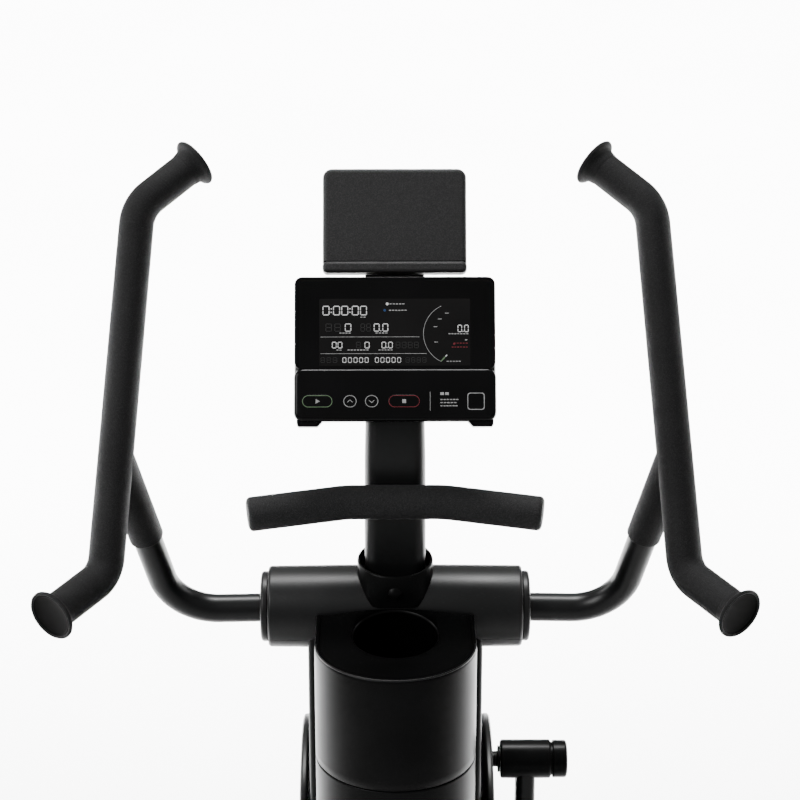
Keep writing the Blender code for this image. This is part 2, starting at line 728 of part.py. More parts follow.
def console():
    half = CONSOLE_WIDTH / 2
    lower = CONTROL_HEIGHT
    body_high = (half, CONSOLE_HEIGHT, -DISPLAY_DEPTH - GAP)
    body = slab("console_housing", (-half, 0.0, -CONSOLE_DEPTH), body_high, 0.009, PLASTIC)
    bevel(body, 0.004)
    face_low, face_high = (-half, lower + GAP, -DISPLAY_DEPTH), (half, CONSOLE_HEIGHT, 0.0)
    face = slab("display_panel", face_low, face_high, 0.008, GLOSS)
    low, high = WINDOW
    recess_low = (low[0] - GAP, low[1] - GAP, -WINDOW_DEPTH - GAP)
    recess_high = (high[0] + GAP, high[1] + GAP, CONTROL_PROUD)
    cut(face, slab("window_recess", recess_low, recess_high, WINDOW_CORNER))
    slab("display_window", (*low, -WINDOW_DEPTH), (*high, 0.0), WINDOW_CORNER, GLASS)
    panel = slab("control_panel", (-half, 0.0, -DISPLAY_DEPTH), (half, lower, CONTROL_PROUD), 0.006, GLOSS)
    bevel(panel, 0.0025)
    for name, (x, width) in KEYS.items():
        key(panel, name, x, width)
    shelf_low, shelf_high = (-SHELF_WIDTH / 2, 0.0, -SHELF_DEPTH), (SHELF_WIDTH / 2, SHELF_HEIGHT, 0.0)
    slab("media_shelf", shelf_low, shelf_high, 0.009, PLASTIC, SHELF_FOOT)
    shelf_lip()


def key(panel, name, x, width):
    """One sprung key in its well, which presses straight into the panel."""
    half_x, half_y = width / 2, KEY_WIDTH / 2
    corner = half_y * 0.98
    top = CONTROL_PROUD + 0.0004
    floor = CONTROL_PROUD - 0.0035
    well_low = (x - half_x - GAP, KEY_HEIGHT - half_y - GAP, floor)
    well_high = (x + half_x + GAP, KEY_HEIGHT + half_y + GAP, CONTROL_PROUD + 0.01)
    cut(panel, slab(name + "_well", well_low, well_high, corner))
    low = (x - half_x, KEY_HEIGHT - half_y, floor + KEY_TRAVEL + GAP)
    piece = slab(name, low, (x + half_x, KEY_HEIGHT + half_y, top), corner, GLOSS)
    frame = console_frame(CONSOLE_FOOT)
    joint = empty_at(name + "_joint", frame @ Vector((x, KEY_HEIGHT, top)))
    carry(joint, piece)


def shelf_lip():
    """The media shelf's lower lip, which a tablet rests on."""
    half = SHELF_WIDTH / 2
    shelf = bpy.data.objects["media_shelf"]
    join(shelf, slab("shelf_lip", (-half, 0.0005, -0.006), (half, 0.0135, 0.011), 0.004, None, SHELF_FOOT))


# Arms.


def arm_point(side, point):
    return Vector((SIDES[side] * point[0], HUB_Y + point[1], HUB_Z + point[2]))


def arm(side):
    """One arm: a grip tube and its strut, welded at a Y, with foam sleeves and flared end caps."""
    line = [arm_point(side, point) for point in ARM_LINE]
    down = (line[0] - line[1]).normalized()
    up = (line[3] - line[2]).normalized()
    bottom_face, top_face = line[0], line[3]
    line[0] = line[0] - down * CAP_LENGTH
    line[3] = line[3] - up * CAP_LENGTH
    path = bend_path(line, ARM_BENDS, 4)
    join_at = arm_point(side, STRUT_JOIN)
    corner = arm_point(side, STRUT_CORNER)
    inner_end = Vector((SIDES[side] * 0.060, HUB_Y, HUB_Z))
    step = corner.lerp(join_at, STRUT_STEP)
    strut_path = bend_path([inner_end, corner, join_at], (STRUT_BEND,), 5)
    bare_path = strut_path[:-1] + [step]
    frame = tube(f"{side}_arm_tube", path, ARM_TUBE_RADIUS, PAINT, 10)
    bare = tube(f"{side}_strut_bare", bare_path, STRUT_RADIUS, None, 14)
    toward = (join_at - step).normalized()
    core = tube(f"{side}_strut_core", [step - toward * 0.01, join_at], ARM_TUBE_RADIUS - 0.0004, None, 10)
    join(frame, bare, core)
    bore = ARM_TUBE_RADIUS - ARM_WALL
    ends = [line[0] + down * 0.01] + path[1:-1] + [line[3] + up * 0.01]
    strut_bore_path = [inner_end - Vector((SIDES[side] * 0.01, 0, 0))] + strut_path[1:-1] + [join_at]
    cut(
        frame,
        tube(f"{side}_arm_bore", ends, bore, None, 8),
        tube(f"{side}_strut_bore", strut_bore_path, bore, None, 8),
    )
    foam = tube(f"{side}_grip_foam", path, FOAM_RADIUS, FOAM, 12)
    room = ARM_TUBE_RADIUS + GAP
    cut(
        foam,
        tube(f"{side}_grip_room", ends, room, None, 10),
        tube(f"{side}_strut_notch", [step, join_at + toward * 0.002], room, None, 10),
    )
    sleeve = tube(f"{side}_strut_foam", [step + toward * GAP, join_at], STRUT_FOAM_RADIUS, FOAM, 12)
    cut(
        sleeve,
        tube(f"{side}_sleeve_room", [step - toward * 0.02, join_at + toward * 0.05], room, None, 10),
        tube(f"{side}_sleeve_saddle", path, FOAM_RADIUS + GAP, None, 12),
    )
    for modifier in sleeve.modifiers:
        modifier.solver = "MANIFOLD"
    caps = [
        flared_cap(f"{side}_bottom_cap", bottom_face, down),
        flared_cap(f"{side}_top_cap", top_face, up),
    ]
    joint = empty_at(f"{side}_arm_joint", (0.0, HUB_Y, HUB_Z))
    carry(joint, frame, foam, sleeve, *caps)


def flared_cap(name, face, direction):
    """A rubber cap on the end of a grip: a rolled rim that flares from the foam, with a dished end face."""
    profile = [*CAP_DISH, (CAP_RADIUS - 0.0022, 0.0), (CAP_RADIUS, -0.0022), (CAP_RADIUS - 0.0006, -0.0046)]
    profile += [(FOAM_RADIUS + 0.0024, -0.0083), (FOAM_RADIUS, GAP - CAP_LENGTH), (0.0, GAP - CAP_LENGTH)]
    return turned(name, profile, face, direction, RUBBER, 16)


# Cranks, legs and links.


def cranks():
    joint = empty_at("crank_joint", (0.0, CRANK_Y, CRANK_Z))
    reach = DISC_X[0] - GAP
    shaft = along_x("crank_shaft", (-reach, reach), CRANK_Y, CRANK_Z, SHAFT_RADIUS, STEEL)
    half = (PULLEY_X[1] - PULLEY_X[0]) / 2
    rim = PULLEY_RADIUS
    profile = [(rim + 0.002, half), (rim + 0.002, half - 0.0012), (rim, half - 0.0012), (rim, 0.0012 - half)]
    profile += [(rim + 0.002, 0.0012 - half), (rim + 0.002, -half), (SHAFT_RADIUS + GAP, -half)]
    profile += [(SHAFT_RADIUS + GAP, half)]
    middle = sum(PULLEY_X) / 2
    pulley = turned("drive_pulley", profile, (middle, CRANK_Y, CRANK_Z), (1, 0, 0), PLASTIC, 28, True)
    discs = [crank_disc(side) for side in SIDES]
    carry(joint, shaft, pulley, *discs)


def crank_disc(side):
    """A round crank plate with a raised boss in the middle and the leg's pin near its rim."""
    y, z = crank_pin(side)
    disc = along_x(f"{side}_crank_disc", span(side, DISC_X), CRANK_Y, CRANK_Z, DISC_RADIUS, PLASTIC, 48)
    boss = along_x(f"{side}_crank_boss", span(side, BOSS_X), CRANK_Y, CRANK_Z, BOSS_RADIUS)
    flange = along_x(f"{side}_pin_flange", span(side, FLANGE_X), y, z, FLANGE_RADIUS)
    pin = along_x(f"{side}_pin", span(side, (BOSS_X[0], LEG_HUB_X[1] - 0.002)), y, z, PIN_RADIUS)
    return join(disc, boss, flange, pin)


def leg(side):
    """A leg that hangs from its crank pin, turns towards the user at the bottom and carries a pedal."""
    pin_y, pin_z = crank_pin(side)
    foot_z = pin_z - LEG_DROP
    d = LEG_HALF_DEPTH
    rear, front = pin_y - d, pin_y + d
    corners = [(LEG_REAR_Y, foot_z - d), (front, foot_z - d), (front, pin_z), (rear, pin_z)]
    corners += [(rear, foot_z + 0.060), (pin_y - 0.080, foot_z + d), (LEG_REAR_Y, foot_z + d)]
    outline = round_outline(corners, 0.012, 3)
    body = plate(f"{side}_leg", outline, span(side, LEG_X), PAINT)
    barrel = along_x(f"{side}_leg_barrel", span(side, LEG_HUB_X), pin_y, pin_z, LEG_HUB_RADIUS, None, 32)
    bore = span(side, (LEG_HUB_X[0] - 0.01, LEG_HUB_X[1] + 0.01))
    cut(join(body, barrel), along_x(f"{side}_leg_bore", bore, pin_y, pin_z, PIN_RADIUS + GAP))
    groove = SIDES[side] * (LEG_HUB_X[1] + 0.0018)
    cap_profile = [(0.0, 0.0184), (0.0215, 0.0184), (0.0230, 0.0168)]
    cap_profile += [(0.0230, 0.0008), (0.0222, 0.0), (0.0, 0.0)]
    cap = turned(f"{side}_leg_cap", cap_profile, (groove, pin_y, pin_z), (SIDES[side], 0, 0), PLASTIC, 20)
    joint = empty_at(f"{side}_leg_joint", (0.0, pin_y, pin_z))
    carry(joint, body, cap, *pedal(side, foot_z + d + GAP))


def pedal(side, z):
    """A foot platform with a raised rim and a ribbed rubber mat in it."""
    x = span(side, PEDAL_X)
    low, high = (x[0], PEDAL_Y[0], z), (x[1], PEDAL_Y[1], z + PEDAL_HEIGHT)
    tray = block(f"{side}_pedal", low, high, PLASTIC, 0.010, 2)
    rim = 0.009
    floor = z + 0.012
    room_low = (low[0] + rim, low[1] + rim, floor)
    room_high = (high[0] - rim, high[1] - rim, z + 0.05)
    cut(tray, block(f"{side}_pedal_room", room_low, room_high))
    mat_low = [value + 0.001 for value in room_low]
    mat_low[2] = floor + GAP
    mat_high = (room_high[0] - 0.001, room_high[1] - 0.001, floor + 0.006)
    mat = block(f"{side}_pedal_mat", mat_low, mat_high, RUBBER)
    for i in range(1, 12):
        y = PEDAL_Y[0] + i * (PEDAL_Y[1] - PEDAL_Y[0]) / 12
        groove_low = (x[0] - 0.01, y - 0.003, floor + 0.004)
        cut(mat, block(f"{side}_mat_groove_{i}", groove_low, (x[1] + 0.01, y + 0.003, floor + 0.02)))
    return tray, mat


def link(side):
    """A swing link from the front upright to the leg's corner, where its pin stops just short of the leg."""
    end_y, end_z = CRANK_Y, crank_pin(side)[1] - LEG_DROP
    heading = math.atan2(end_z - LINK_Z, end_y - LINK_Y)
    quarter = math.pi / 2
    outline = arc((end_y, end_z), LINK_HALF, heading - quarter, heading + quarter, 5)
    outline += arc((LINK_Y, LINK_Z), LINK_HALF, heading + quarter, heading + 3 * quarter, 5)
    body = plate(f"{side}_link", outline, span(side, LINK_X), PAINT)
    stub_x = span(side, (LINK_X[1] - 0.004, LEG_X[0] - 0.0005))
    stub = along_x(f"{side}_link_stub", stub_x, end_y, end_z, 0.009)
    eye = span(side, (LINK_X[0] - 0.01, LINK_X[1] + 0.01))
    cut(join(body, stub), along_x(f"{side}_link_eye", eye, LINK_Y, LINK_Z, PIN_RADIUS + GAP))
    carry(empty_at(f"{side}_link_joint", (0.0, LINK_Y, LINK_Z)), body)


# Drive train.


def belt_outline(extra):
    """The loop round both pulleys: a long arc on the big one and a short arc on the small one."""
    big, small = PULLEY_RADIUS + extra, SMALL_PULLEY_RADIUS + extra
    run_y, run_z = FLYWHEEL_Y - CRANK_Y, FLYWHEEL_Z - CRANK_Z
    heading = math.atan2(run_z, run_y)
    tangent = math.acos((big - small) / math.hypot(run_y, run_z))
    outline = arc((CRANK_Y, CRANK_Z), big, heading + tangent, heading + 2 * math.pi - tangent, 30)
    return outline + arc((FLYWHEEL_Y, FLYWHEEL_Z), small, heading - tangent, heading + tangent, 10)


def drive_train():
    width = (PULLEY_X[0] + 0.002, PULLEY_X[1] - 0.002)
    belt = plate("drive_belt", belt_outline(0.0006 + BELT_THICK), width, BELT)
    cut(belt, plate("belt_room", belt_outline(0.0006), (width[0] - 0.01, width[1] + 0.01)))
    along_x("flywheel_axle", (-0.045, 0.088), FLYWHEEL_Y, FLYWHEEL_Z, AXLE_RADIUS, STEEL, 16)
    left, right = FLYWHEEL_X
    profile = [(0.0125, PULLEY_X[1]), (SMALL_PULLEY_RADIUS, PULLEY_X[1]), (SMALL_PULLEY_RADIUS, PULLEY_X[0])]
    profile += [(0.0125, PULLEY_X[0]), (0.0125, right + 0.006), (0.030, right + 0.004), (0.080, right)]
    profile += [(FLYWHEEL_RADIUS, right), (FLYWHEEL_RADIUS, left), (0.020, left), (0.020, left - 0.006)]
    profile += [(AXLE_RADIUS + GAP, left - 0.006), (AXLE_RADIUS + GAP, PULLEY_X[1])]
    wheel = turned("flywheel", profile, (0, FLYWHEEL_Y, FLYWHEEL_Z), (1, 0, 0), STEEL, 28, True)
    carry(empty_at("flywheel_joint", (0.0, FLYWHEEL_Y, FLYWHEEL_Z)), wheel)
    brake()


def brake():
    """The magnet carrier: an arc close round the flywheel, hinged on a pin at one end."""
    y, z = brake_pivot()
    centre = (FLYWHEEL_Y, FLYWHEEL_Z)
    inner, outer = FLYWHEEL_RADIUS + 0.004, FLYWHEEL_RADIUS + 0.016
    begin, end = math.radians(228), math.radians(300)
    outline = arc(centre, outer, begin, end, 10) + arc(centre, inner, end, begin, 10)
    bracket = plate("brake_bracket", outline, (-0.024, 0.003), STEEL)
    far_y = FLYWHEEL_Y + (inner + 0.006) * math.cos(begin)
    far_z = FLYWHEEL_Z + (inner + 0.006) * math.sin(begin)
    arm_line = [(-0.0105, y, z), (-0.0105, far_y, far_z), (-0.0105, far_y + 0.012, far_z - 0.010)]
    arm_bar = tube("brake_arm", arm_line, 0.006, None, 10)
    eye = along_x("brake_eye", (-0.024, 0.003), y, z, 0.009)
    cut(join(bracket, arm_bar, eye), along_x("brake_eye_bore", (-0.04, 0.02), y, z, 0.004 + GAP, sides=12))
    carry(empty_at("brake_joint", (0.0, y, z)), bracket)


def build():
    base()
    transport_wheels()
    cut_wheel_room(bpy.data.objects["front_stabilizer"])
    main_post()
    column_covers()
    cup_tray()
    hub()
    mast()
    mast_collar()
    fixed_handlebar()
    console()
    cranks()
    for side in SIDES:
        arm(side)
        leg(side)
        link(side)
    drive_train()


build()
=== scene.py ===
"""The looks of the elliptical trainer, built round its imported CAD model."""

import json
import math

import bmesh
import bpy
from mathutils import Matrix, Vector


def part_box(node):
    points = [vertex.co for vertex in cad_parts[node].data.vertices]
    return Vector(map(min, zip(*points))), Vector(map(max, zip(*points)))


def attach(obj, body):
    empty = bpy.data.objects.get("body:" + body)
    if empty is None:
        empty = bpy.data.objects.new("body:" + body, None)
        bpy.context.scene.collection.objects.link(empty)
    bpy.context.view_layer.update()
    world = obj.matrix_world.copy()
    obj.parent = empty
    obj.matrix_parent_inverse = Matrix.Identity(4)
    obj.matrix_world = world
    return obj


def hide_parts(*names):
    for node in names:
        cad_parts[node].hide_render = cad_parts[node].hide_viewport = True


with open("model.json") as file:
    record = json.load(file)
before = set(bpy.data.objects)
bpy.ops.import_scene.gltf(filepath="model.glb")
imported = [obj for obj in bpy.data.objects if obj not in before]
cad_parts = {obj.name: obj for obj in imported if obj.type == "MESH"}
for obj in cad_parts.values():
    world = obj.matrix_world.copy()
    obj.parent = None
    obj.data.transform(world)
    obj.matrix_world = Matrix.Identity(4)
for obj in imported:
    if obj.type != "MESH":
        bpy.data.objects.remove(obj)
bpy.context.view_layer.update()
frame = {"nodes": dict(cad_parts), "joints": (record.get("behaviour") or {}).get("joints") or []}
JOINTS = {joint["name"]: joint for joint in frame["joints"]}
SIDES = {"left": -1, "right": 1}


def axis_point(joint):
    """Where a joint's axis, which runs along X, crosses the machine's middle plane."""
    return Vector((0.0, *JOINTS[joint]["pos_m"][1:]))


HUB = axis_point("left_arm_swing")
CRANK = axis_point("crank_spin")
PINS = {side: axis_point(f"{side}_leg_pivot") for side in SIDES}
LINK = axis_point("left_link_swing")

# The arm's route from the hub's centre, as in the CAD, and its radii in metres.
ARM_LINE = (
    (0.3714, -0.196, 0.0814), (0.3198, -0.1235, 0.0973),
    (0.2842, 0.03, 0.4729), (0.2219, 0.075, 0.5132),
)
STRUT_CORNER = (0.2572, 0.0, -0.0036)
STRUT_JOIN = (0.3084, -0.0742, 0.219)
ARM_BENDS = (0.034, 0.046)
STRUT_BEND = 0.065
STRUT_STEP = 0.481
STRUT_RADIUS = 0.0165
FOAM_RADIUS = 0.0197
STRUT_FOAM_RADIUS = 0.0195
CAP_RADIUS = 0.0282
BAR_FOAM_RADIUS = 0.0195
HUB_END_RADIUS, HUB_MIDDLE_RADIUS = 0.047, 0.0485
CUP_RADIUS = 0.0475
CUP_DEPTH_STRETCH = 1.08
CROWN_HEIGHT = 0.0105
PLATE_RIM = {"left": 0.1142, "right": 0.1182}
CONSOLE_TILT = math.radians(27)
CONSOLE_HALF = 0.1123
CONSOLE_TOP = 0.164
CONTROL_TOP = 0.059
CONTROL_PROUD = 0.013
SCREEN_FACE = 0.0003


# Materials.


SOCKETS = {
    "metallic": "Metallic", "coat": "Coat Weight", "coat_rough": "Coat Roughness",
    "specular": "Specular IOR Level", "emit": "Emission Strength",
}


class Nodes:
    """A small helper that adds nodes to one material."""

    # Nearly all of a noise lies between the first two, and its colours change between the last two.
    NOISE_RANGE = (0.3, 0.7)
    COLOUR_RANGE = (0.35, 0.65)

    def __init__(self, name):
        self.material = bpy.data.materials.new(name)
        self.material.use_nodes = True
        self.tree = self.material.node_tree
        self.shader = self.tree.nodes["Principled BSDF"]
        self.place = self.add("ShaderNodeTexCoord").outputs["Object"]

    def add(self, kind, inputs=None, **settings):
        """A node with these settings, and with inputs that are values or the outputs that feed them."""
        node = self.tree.nodes.new(kind)
        for key, value in settings.items():
            setattr(node, key, value)
        for name, value in (inputs or {}).items():
            if isinstance(value, bpy.types.NodeSocket):
                self.tree.links.new(value, node.inputs[name])
            else:
                node.inputs[name].default_value = value
        return node

    def feed(self, output, name):
        self.tree.links.new(output, self.shader.inputs[name])

    def set(self, **values):
        """Values that are the same all over, on the shader's own sockets."""
        for key, value in values.items():
            self.shader.inputs[SOCKETS[key]].default_value = value

    def noise(self, scale, detail, stretch=None):
        place = self.place
        if stretch:
            place = self.add("ShaderNodeMapping", {"Vector": place, "Scale": stretch}).outputs["Vector"]
        inputs = {"Vector": place, "Scale": scale, "Detail": detail}
        return self.add("ShaderNodeTexNoise", inputs).outputs["Fac"]

    def cells(self, scale):
        inputs = {"Vector": self.place, "Scale": scale}
        return self.add("ShaderNodeTexVoronoi", inputs, feature="SMOOTH_F1").outputs["Distance"]

    def colours(self, value, dark, light, target="Base Color"):
        node = self.add("ShaderNodeValToRGB", {"Fac": value})
        for stop, position, colour in zip(node.color_ramp.elements, self.COLOUR_RANGE, (dark, light)):
            stop.position = position
            stop.color = (*colour, 1.0)
        self.feed(node.outputs["Color"], target)

    def roughness(self, value, low, high):
        start, end = self.NOISE_RANGE
        inputs = {"Value": value, "From Min": start, "From Max": end, "To Min": low, "To Max": high}
        self.feed(self.add("ShaderNodeMapRange", inputs).outputs["Result"], "Roughness")

    def bump(self, *layers):
        """Each layer is (height, strength, depth in metres)."""
        before = {}
        for height, strength, depth in layers:
            inputs = {"Height": height, "Strength": strength, "Distance": depth, **before}
            before = {"Normal": self.add("ShaderNodeBump", inputs).outputs["Normal"]}
        self.feed(before["Normal"], "Normal")


def grey(value, tint=0.0):
    return (value, value, value + tint)


def moulded(name, grain, drift, colours, rough, bump, **finish):
    """Colour and roughness drift with one noise, over a finer one's bump. A noise is (scale, detail)."""
    made = Nodes(name)
    fine = made.noise(*grain)
    slow = made.noise(*drift)
    made.colours(slow, *colours)
    made.roughness(slow, *rough)
    made.bump((fine, *bump))
    made.set(**finish)
    return made.material


def foam_material(name, dark, light):
    """Closed-cell foam: fine open pores over a slightly uneven skin."""
    made = Nodes(name)
    pores = made.cells(1500.0)
    skin = made.noise(900.0, 4.0)
    wear = made.noise(9.0, 3.0)
    made.colours(pores, grey(dark, 0.0002), grey(light, 0.0005))
    made.roughness(wear, 0.62, 0.8)
    made.bump((pores, 0.6, 0.0006), (skin, 0.35, 0.0005))
    made.set(specular=0.2)
    return made.material


def shelf_material():
    """Textured plastic with a fine, even grain."""
    made = Nodes("grained_moulding")
    cells = made.cells(1100.0)
    grain = made.noise(1600.0, 3.0)
    made.colours(cells, grey(0.0085, 0.0002), grey(0.02, 0.0005))
    made.roughness(grain, 0.42, 0.55)
    made.bump((cells, 0.6, 0.0006), (grain, 0.25, 0.0002))
    made.set(specular=0.24)
    return made.material


def window_material():
    """The dark display window, with a very faint printed mask behind it."""
    made = Nodes("tinted_window")
    haze = made.noise(16.0, 4.0)
    made.colours(haze, (0.0052, 0.005, 0.005), (0.007, 0.0067, 0.0066))
    made.roughness(haze, 0.16, 0.24)
    made.set(specular=0.15)
    return made.material


def dark_material(name, tone, rough, specular):
    """Deep black moulded plastic with a fine, slightly worn skin."""
    colours = grey(tone), grey(tone * 1.7, 0.0001)
    bump = (0.06, 0.0003)
    return moulded(name, (1300.0, 2.0), (13.0, 4.0), colours, (rough, rough + 0.1), bump, specular=specular)


def steel_material():
    """Turned and ground steel with fine marks round it."""
    made = Nodes("turned_steel")
    marks = made.noise(240.0, 3.0, (12.0, 1.0, 1.0))
    made.colours(marks, grey(0.42, 0.01), grey(0.6, 0.012))
    made.roughness(marks, 0.22, 0.38)
    made.bump((marks, 0.12, 0.0002))
    made.set(metallic=1.0)
    return made.material


def glow_material(name, dark, light, strength):
    """A lit display segment or printed mark, a little uneven like backlit film. On printed marks and unlit
    segments the emission is painted glow.
    """
    made = Nodes(name)
    film = made.noise(180.0, 2.0)
    made.colours(film, dark, light)
    made.colours(film, dark, light, "Emission Color")
    made.roughness(film, 0.35, 0.5)
    made.set(specular=0.2, emit=strength)
    return made.material


FOAM = foam_material("closed_cell_foam", 0.004, 0.0128)
# A lighter copy of the grip foam for the handlebar: painted light on the bar.
BAR_FOAM_PAINTED_LIGHT = foam_material("bar_foam_painted_light", 0.0075, 0.023)
# Black powder coat with a faint orange peel.
PAINT = moulded(
    "black_powder_coat", (420.0, 2.0), (9.0, 2.0), (grey(0.002, 0.0001), grey(0.0034, 0.0002)),
    (0.32, 0.4), (0.04, 0.0003), specular=0.24, coat=0.05, coat_rough=0.25,
)
# Moulded plastic with a fine spark-eroded grain.
SATIN = moulded(
    "satin_moulding", (1500.0, 2.0), (6.0, 3.0), (grey(0.0028, 0.0001), grey(0.0046, 0.0002)),
    (0.34, 0.43), (0.1, 0.0003), specular=0.3,
)
GRAINED = shelf_material()
# Piano-black plastic with faint handling marks in its gloss.
GLOSS = moulded(
    "gloss_moulding", (26.0, 1.0), (11.0, 5.0), (grey(0.0014, 0.0001), grey(0.0024, 0.0002)),
    (0.1, 0.18), (0.02, 0.0004), specular=0.14,
)
WINDOW = window_material()
# Moulded rubber with a dull, slightly dusty skin.
RUBBER = moulded(
    "moulded_rubber", (700.0, 4.0), (22.0, 4.0), (grey(0.007), grey(0.013)),
    (0.46, 0.6), (0.22, 0.0003), specular=0.34,
)
# Dense rubber on the grips' ends, smoother than the foam beside it.
CAP_RUBBER = moulded(
    "dense_rubber", (800.0, 3.0), (40.0, 3.0), (grey(0.0016, 0.0001), grey(0.003, 0.0001)),
    (0.44, 0.56), (0.14, 0.0003), specular=0.02,
)
DARK = dark_material("deep_black_moulding", 0.0027, 0.28, 0.06)
# A darker, duller copy of the same moulding: painted shade, put on the head's top, in the cup well and in the
# shelf's groove strip.
PAINTED_SHADE_BLACK = dark_material("painted_shade_moulding", 0.0004, 0.45, 0.02)
STEEL = steel_material()
WHITE_GLOW = glow_material("lit_white", grey(0.42), grey(0.55), 0.4)
# Unlit segments glow faintly though they are off: painted glow.
DIM_SEGMENT_PAINTED_GLOW = glow_material("unlit_segment_painted_glow", grey(0.016), grey(0.024), 0.02)
# Print glows a little though nothing lights it: painted glow, on the display and on the key panel.
GREY_PRINT_PAINTED_GLOW = glow_material("printed_grey_painted_glow", grey(0.22), grey(0.31), 0.1)
GREEN_PRINT_PAINTED_GLOW = glow_material("printed_green_painted_glow", (0.085, 0.135, 0.075), (0.11, 0.17, 0.095), 0.1)
RED_PRINT_PAINTED_GLOW = glow_material("printed_red_painted_glow", (0.1, 0.013, 0.018), (0.135, 0.02, 0.026), 0.08)
BLUE_PRINT_PAINTED_GLOW = glow_material("printed_blue_painted_glow", (0.012, 0.034, 0.095), (0.018, 0.046, 0.12), 0.1)


# Modelling helpers.


def new_object(name, data):
    obj = bpy.data.objects.new(name, data)
    bpy.context.scene.collection.objects.link(obj)
    return obj


def new_mesh(name, bm):
    mesh = bpy.data.meshes.new(name)
    bm.to_mesh(mesh)
    bm.free()
    return mesh


def smooth(mesh, angle):
    """Smooth all over but for the edges sharper than this angle in degrees."""
    mesh.shade_smooth()
    mesh.set_sharp_from_angle(angle=math.radians(angle))


def round_edges(obj, width, segments, angle):
    rounding = obj.modifiers.new("edges", "BEVEL")
    rounding.width = width
    rounding.segments = segments
    rounding.limit_method = "ANGLE"
    rounding.angle_limit = math.radians(angle)
    return rounding


def finish_piece(name, bm, material, body, nodes=(), angle=35.0, edge=0.0, matrix=None, segments=3):
    """The piece made from this mesh, smooth but for its sharp edges, riding on its body."""
    bmesh.ops.recalc_face_normals(bm, faces=bm.faces)
    mesh = new_mesh(name, bm)
    mesh.materials.append(material)
    smooth(mesh, angle)
    obj = new_object(name, mesh)
    if matrix:
        obj.matrix_world = matrix
    if edge:
        round_edges(obj, edge, segments, angle).harden_normals = True
    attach(obj, body)
    if nodes:
        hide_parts(*nodes)
    return obj


def bend_path(points, radii, steps=14):
    """The line through the points with each inner corner turned into an arc of its own radius."""
    points = [Vector(point) for point in points]
    path = [points[0]]
    for before, corner, after, radius in zip(points, points[1:], points[2:], radii):
        back = (before - corner).normalized()
        ahead = (after - corner).normalized()
        half = back.angle(ahead) / 2
        centre = corner + (back + ahead).normalized() * (radius / math.sin(half))
        start = corner + back * (radius / math.tan(half)) - centre
        end = corner + ahead * (radius / math.tan(half)) - centre
        axis = start.cross(end)
        sweep_angle = start.angle(end)
        path += [centre + Matrix.Rotation(sweep_angle * i / steps, 3, axis) @ start for i in range(steps + 1)]
    return path + [points[-1]]


def add_rings(bm, rings, cap_start=True, cap_end=True):
    """Quads between rings of equal point counts, with flat caps."""
    loops = [[bm.verts.new(point) for point in ring] for ring in rings]
    for lower, upper in zip(loops, loops[1:]):
        for i in range(len(lower)):
            j = (i + 1) % len(lower)
            bm.faces.new((lower[i], lower[j], upper[j], upper[i]))
    if cap_start:
        bm.faces.new(loops[0])
    if cap_end:
        bm.faces.new(loops[-1])


def sweep(bm, path, radii, sides):
    """A round tube along a path, with a radius for each point."""
    neighbours = zip(path[:1] + path[:-1], path[1:] + path[-1:])
    tangents = [(after - before).normalized() for before, after in neighbours]
    across = tangents[0].orthogonal().normalized()
    rings = []
    for i, (point, tangent) in enumerate(zip(path, tangents)):
        if i:
            across = (tangents[i - 1].rotation_difference(tangent) @ across).normalized()
        other = tangent.cross(across)
        turn = [2 * math.pi * k / sides for k in range(sides)]
        rings.append([point + (across * math.cos(a) + other * math.sin(a)) * radii[i] for a in turn])
    add_rings(bm, rings)


def tube(name, path, radii, material, body, nodes=(), sides=48, **finish):
    bm = bmesh.new()
    sweep(bm, path, radii, sides)
    return finish_piece(name, bm, material, body, nodes, **finish)


def loft(name, rings, material, body, nodes=(), **finish):
    bm = bmesh.new()
    add_rings(bm, rings)
    return finish_piece(name, bm, material, body, nodes, **finish)


def soft_ends(path, radius, roundness, end=True):
    """The path and radii of a sleeve with rounded ends, as depths along it and radii there."""
    steps = 8
    inner = list(path)
    radii = [radius] * len(inner)
    # The flat end stands a hair out, because two points of a path may not fall together.
    curve = [(-0.00005, (radius - roundness) * 0.9)]
    for i in range(steps):
        angle = math.pi / 2 * i / steps
        curve.append((roundness * (1 - math.cos(angle)), radius - roundness * (1 - math.sin(angle))))
    first = (inner[1] - inner[0]).normalized()
    last = (inner[-2] - inner[-1]).normalized()
    points = [inner[0] + first * depth for depth, _ in curve]
    inner = points + [inner[0] + first * roundness] + inner[1:]
    radii = [value for _, value in curve] + [radius] + radii[1:]
    if end:
        points = [inner[-1] + last * depth for depth, _ in reversed(curve)]
        inner = inner[:-1] + [inner[-1] + last * roundness] + points
        radii = radii[:-1] + [radius] + [value for _, value in reversed(curve)]
    return inner, radii


def lathe(bm, profile, base, direction, sides=64):
    """A profile of (radius, height) points turned about a line. A radius of 0 closes the end."""
    turn = Vector(direction).to_track_quat("Z", "Y").to_matrix().to_4x4()
    matrix = Matrix.Translation(Vector(base)) @ turn
    angles = [2 * math.pi * k / sides for k in range(sides)]
    rings = []
    for radius, height in profile:
        if radius > 1e-6:
            ring = [Vector((radius * math.cos(a), radius * math.sin(a), height)) for a in angles]
            rings.append([matrix @ point for point in ring])
    add_rings(bm, rings, profile[0][0] <= 1e-6, profile[-1][0] <= 1e-6)


def eased(start, corner, end, steps):
    """A curve from start to end that leaves and arrives in line with the corner."""
    shares = [i / steps for i in range(steps + 1)]
    return [start.lerp(corner, t).lerp(corner.lerp(end, t), t) for t in shares]


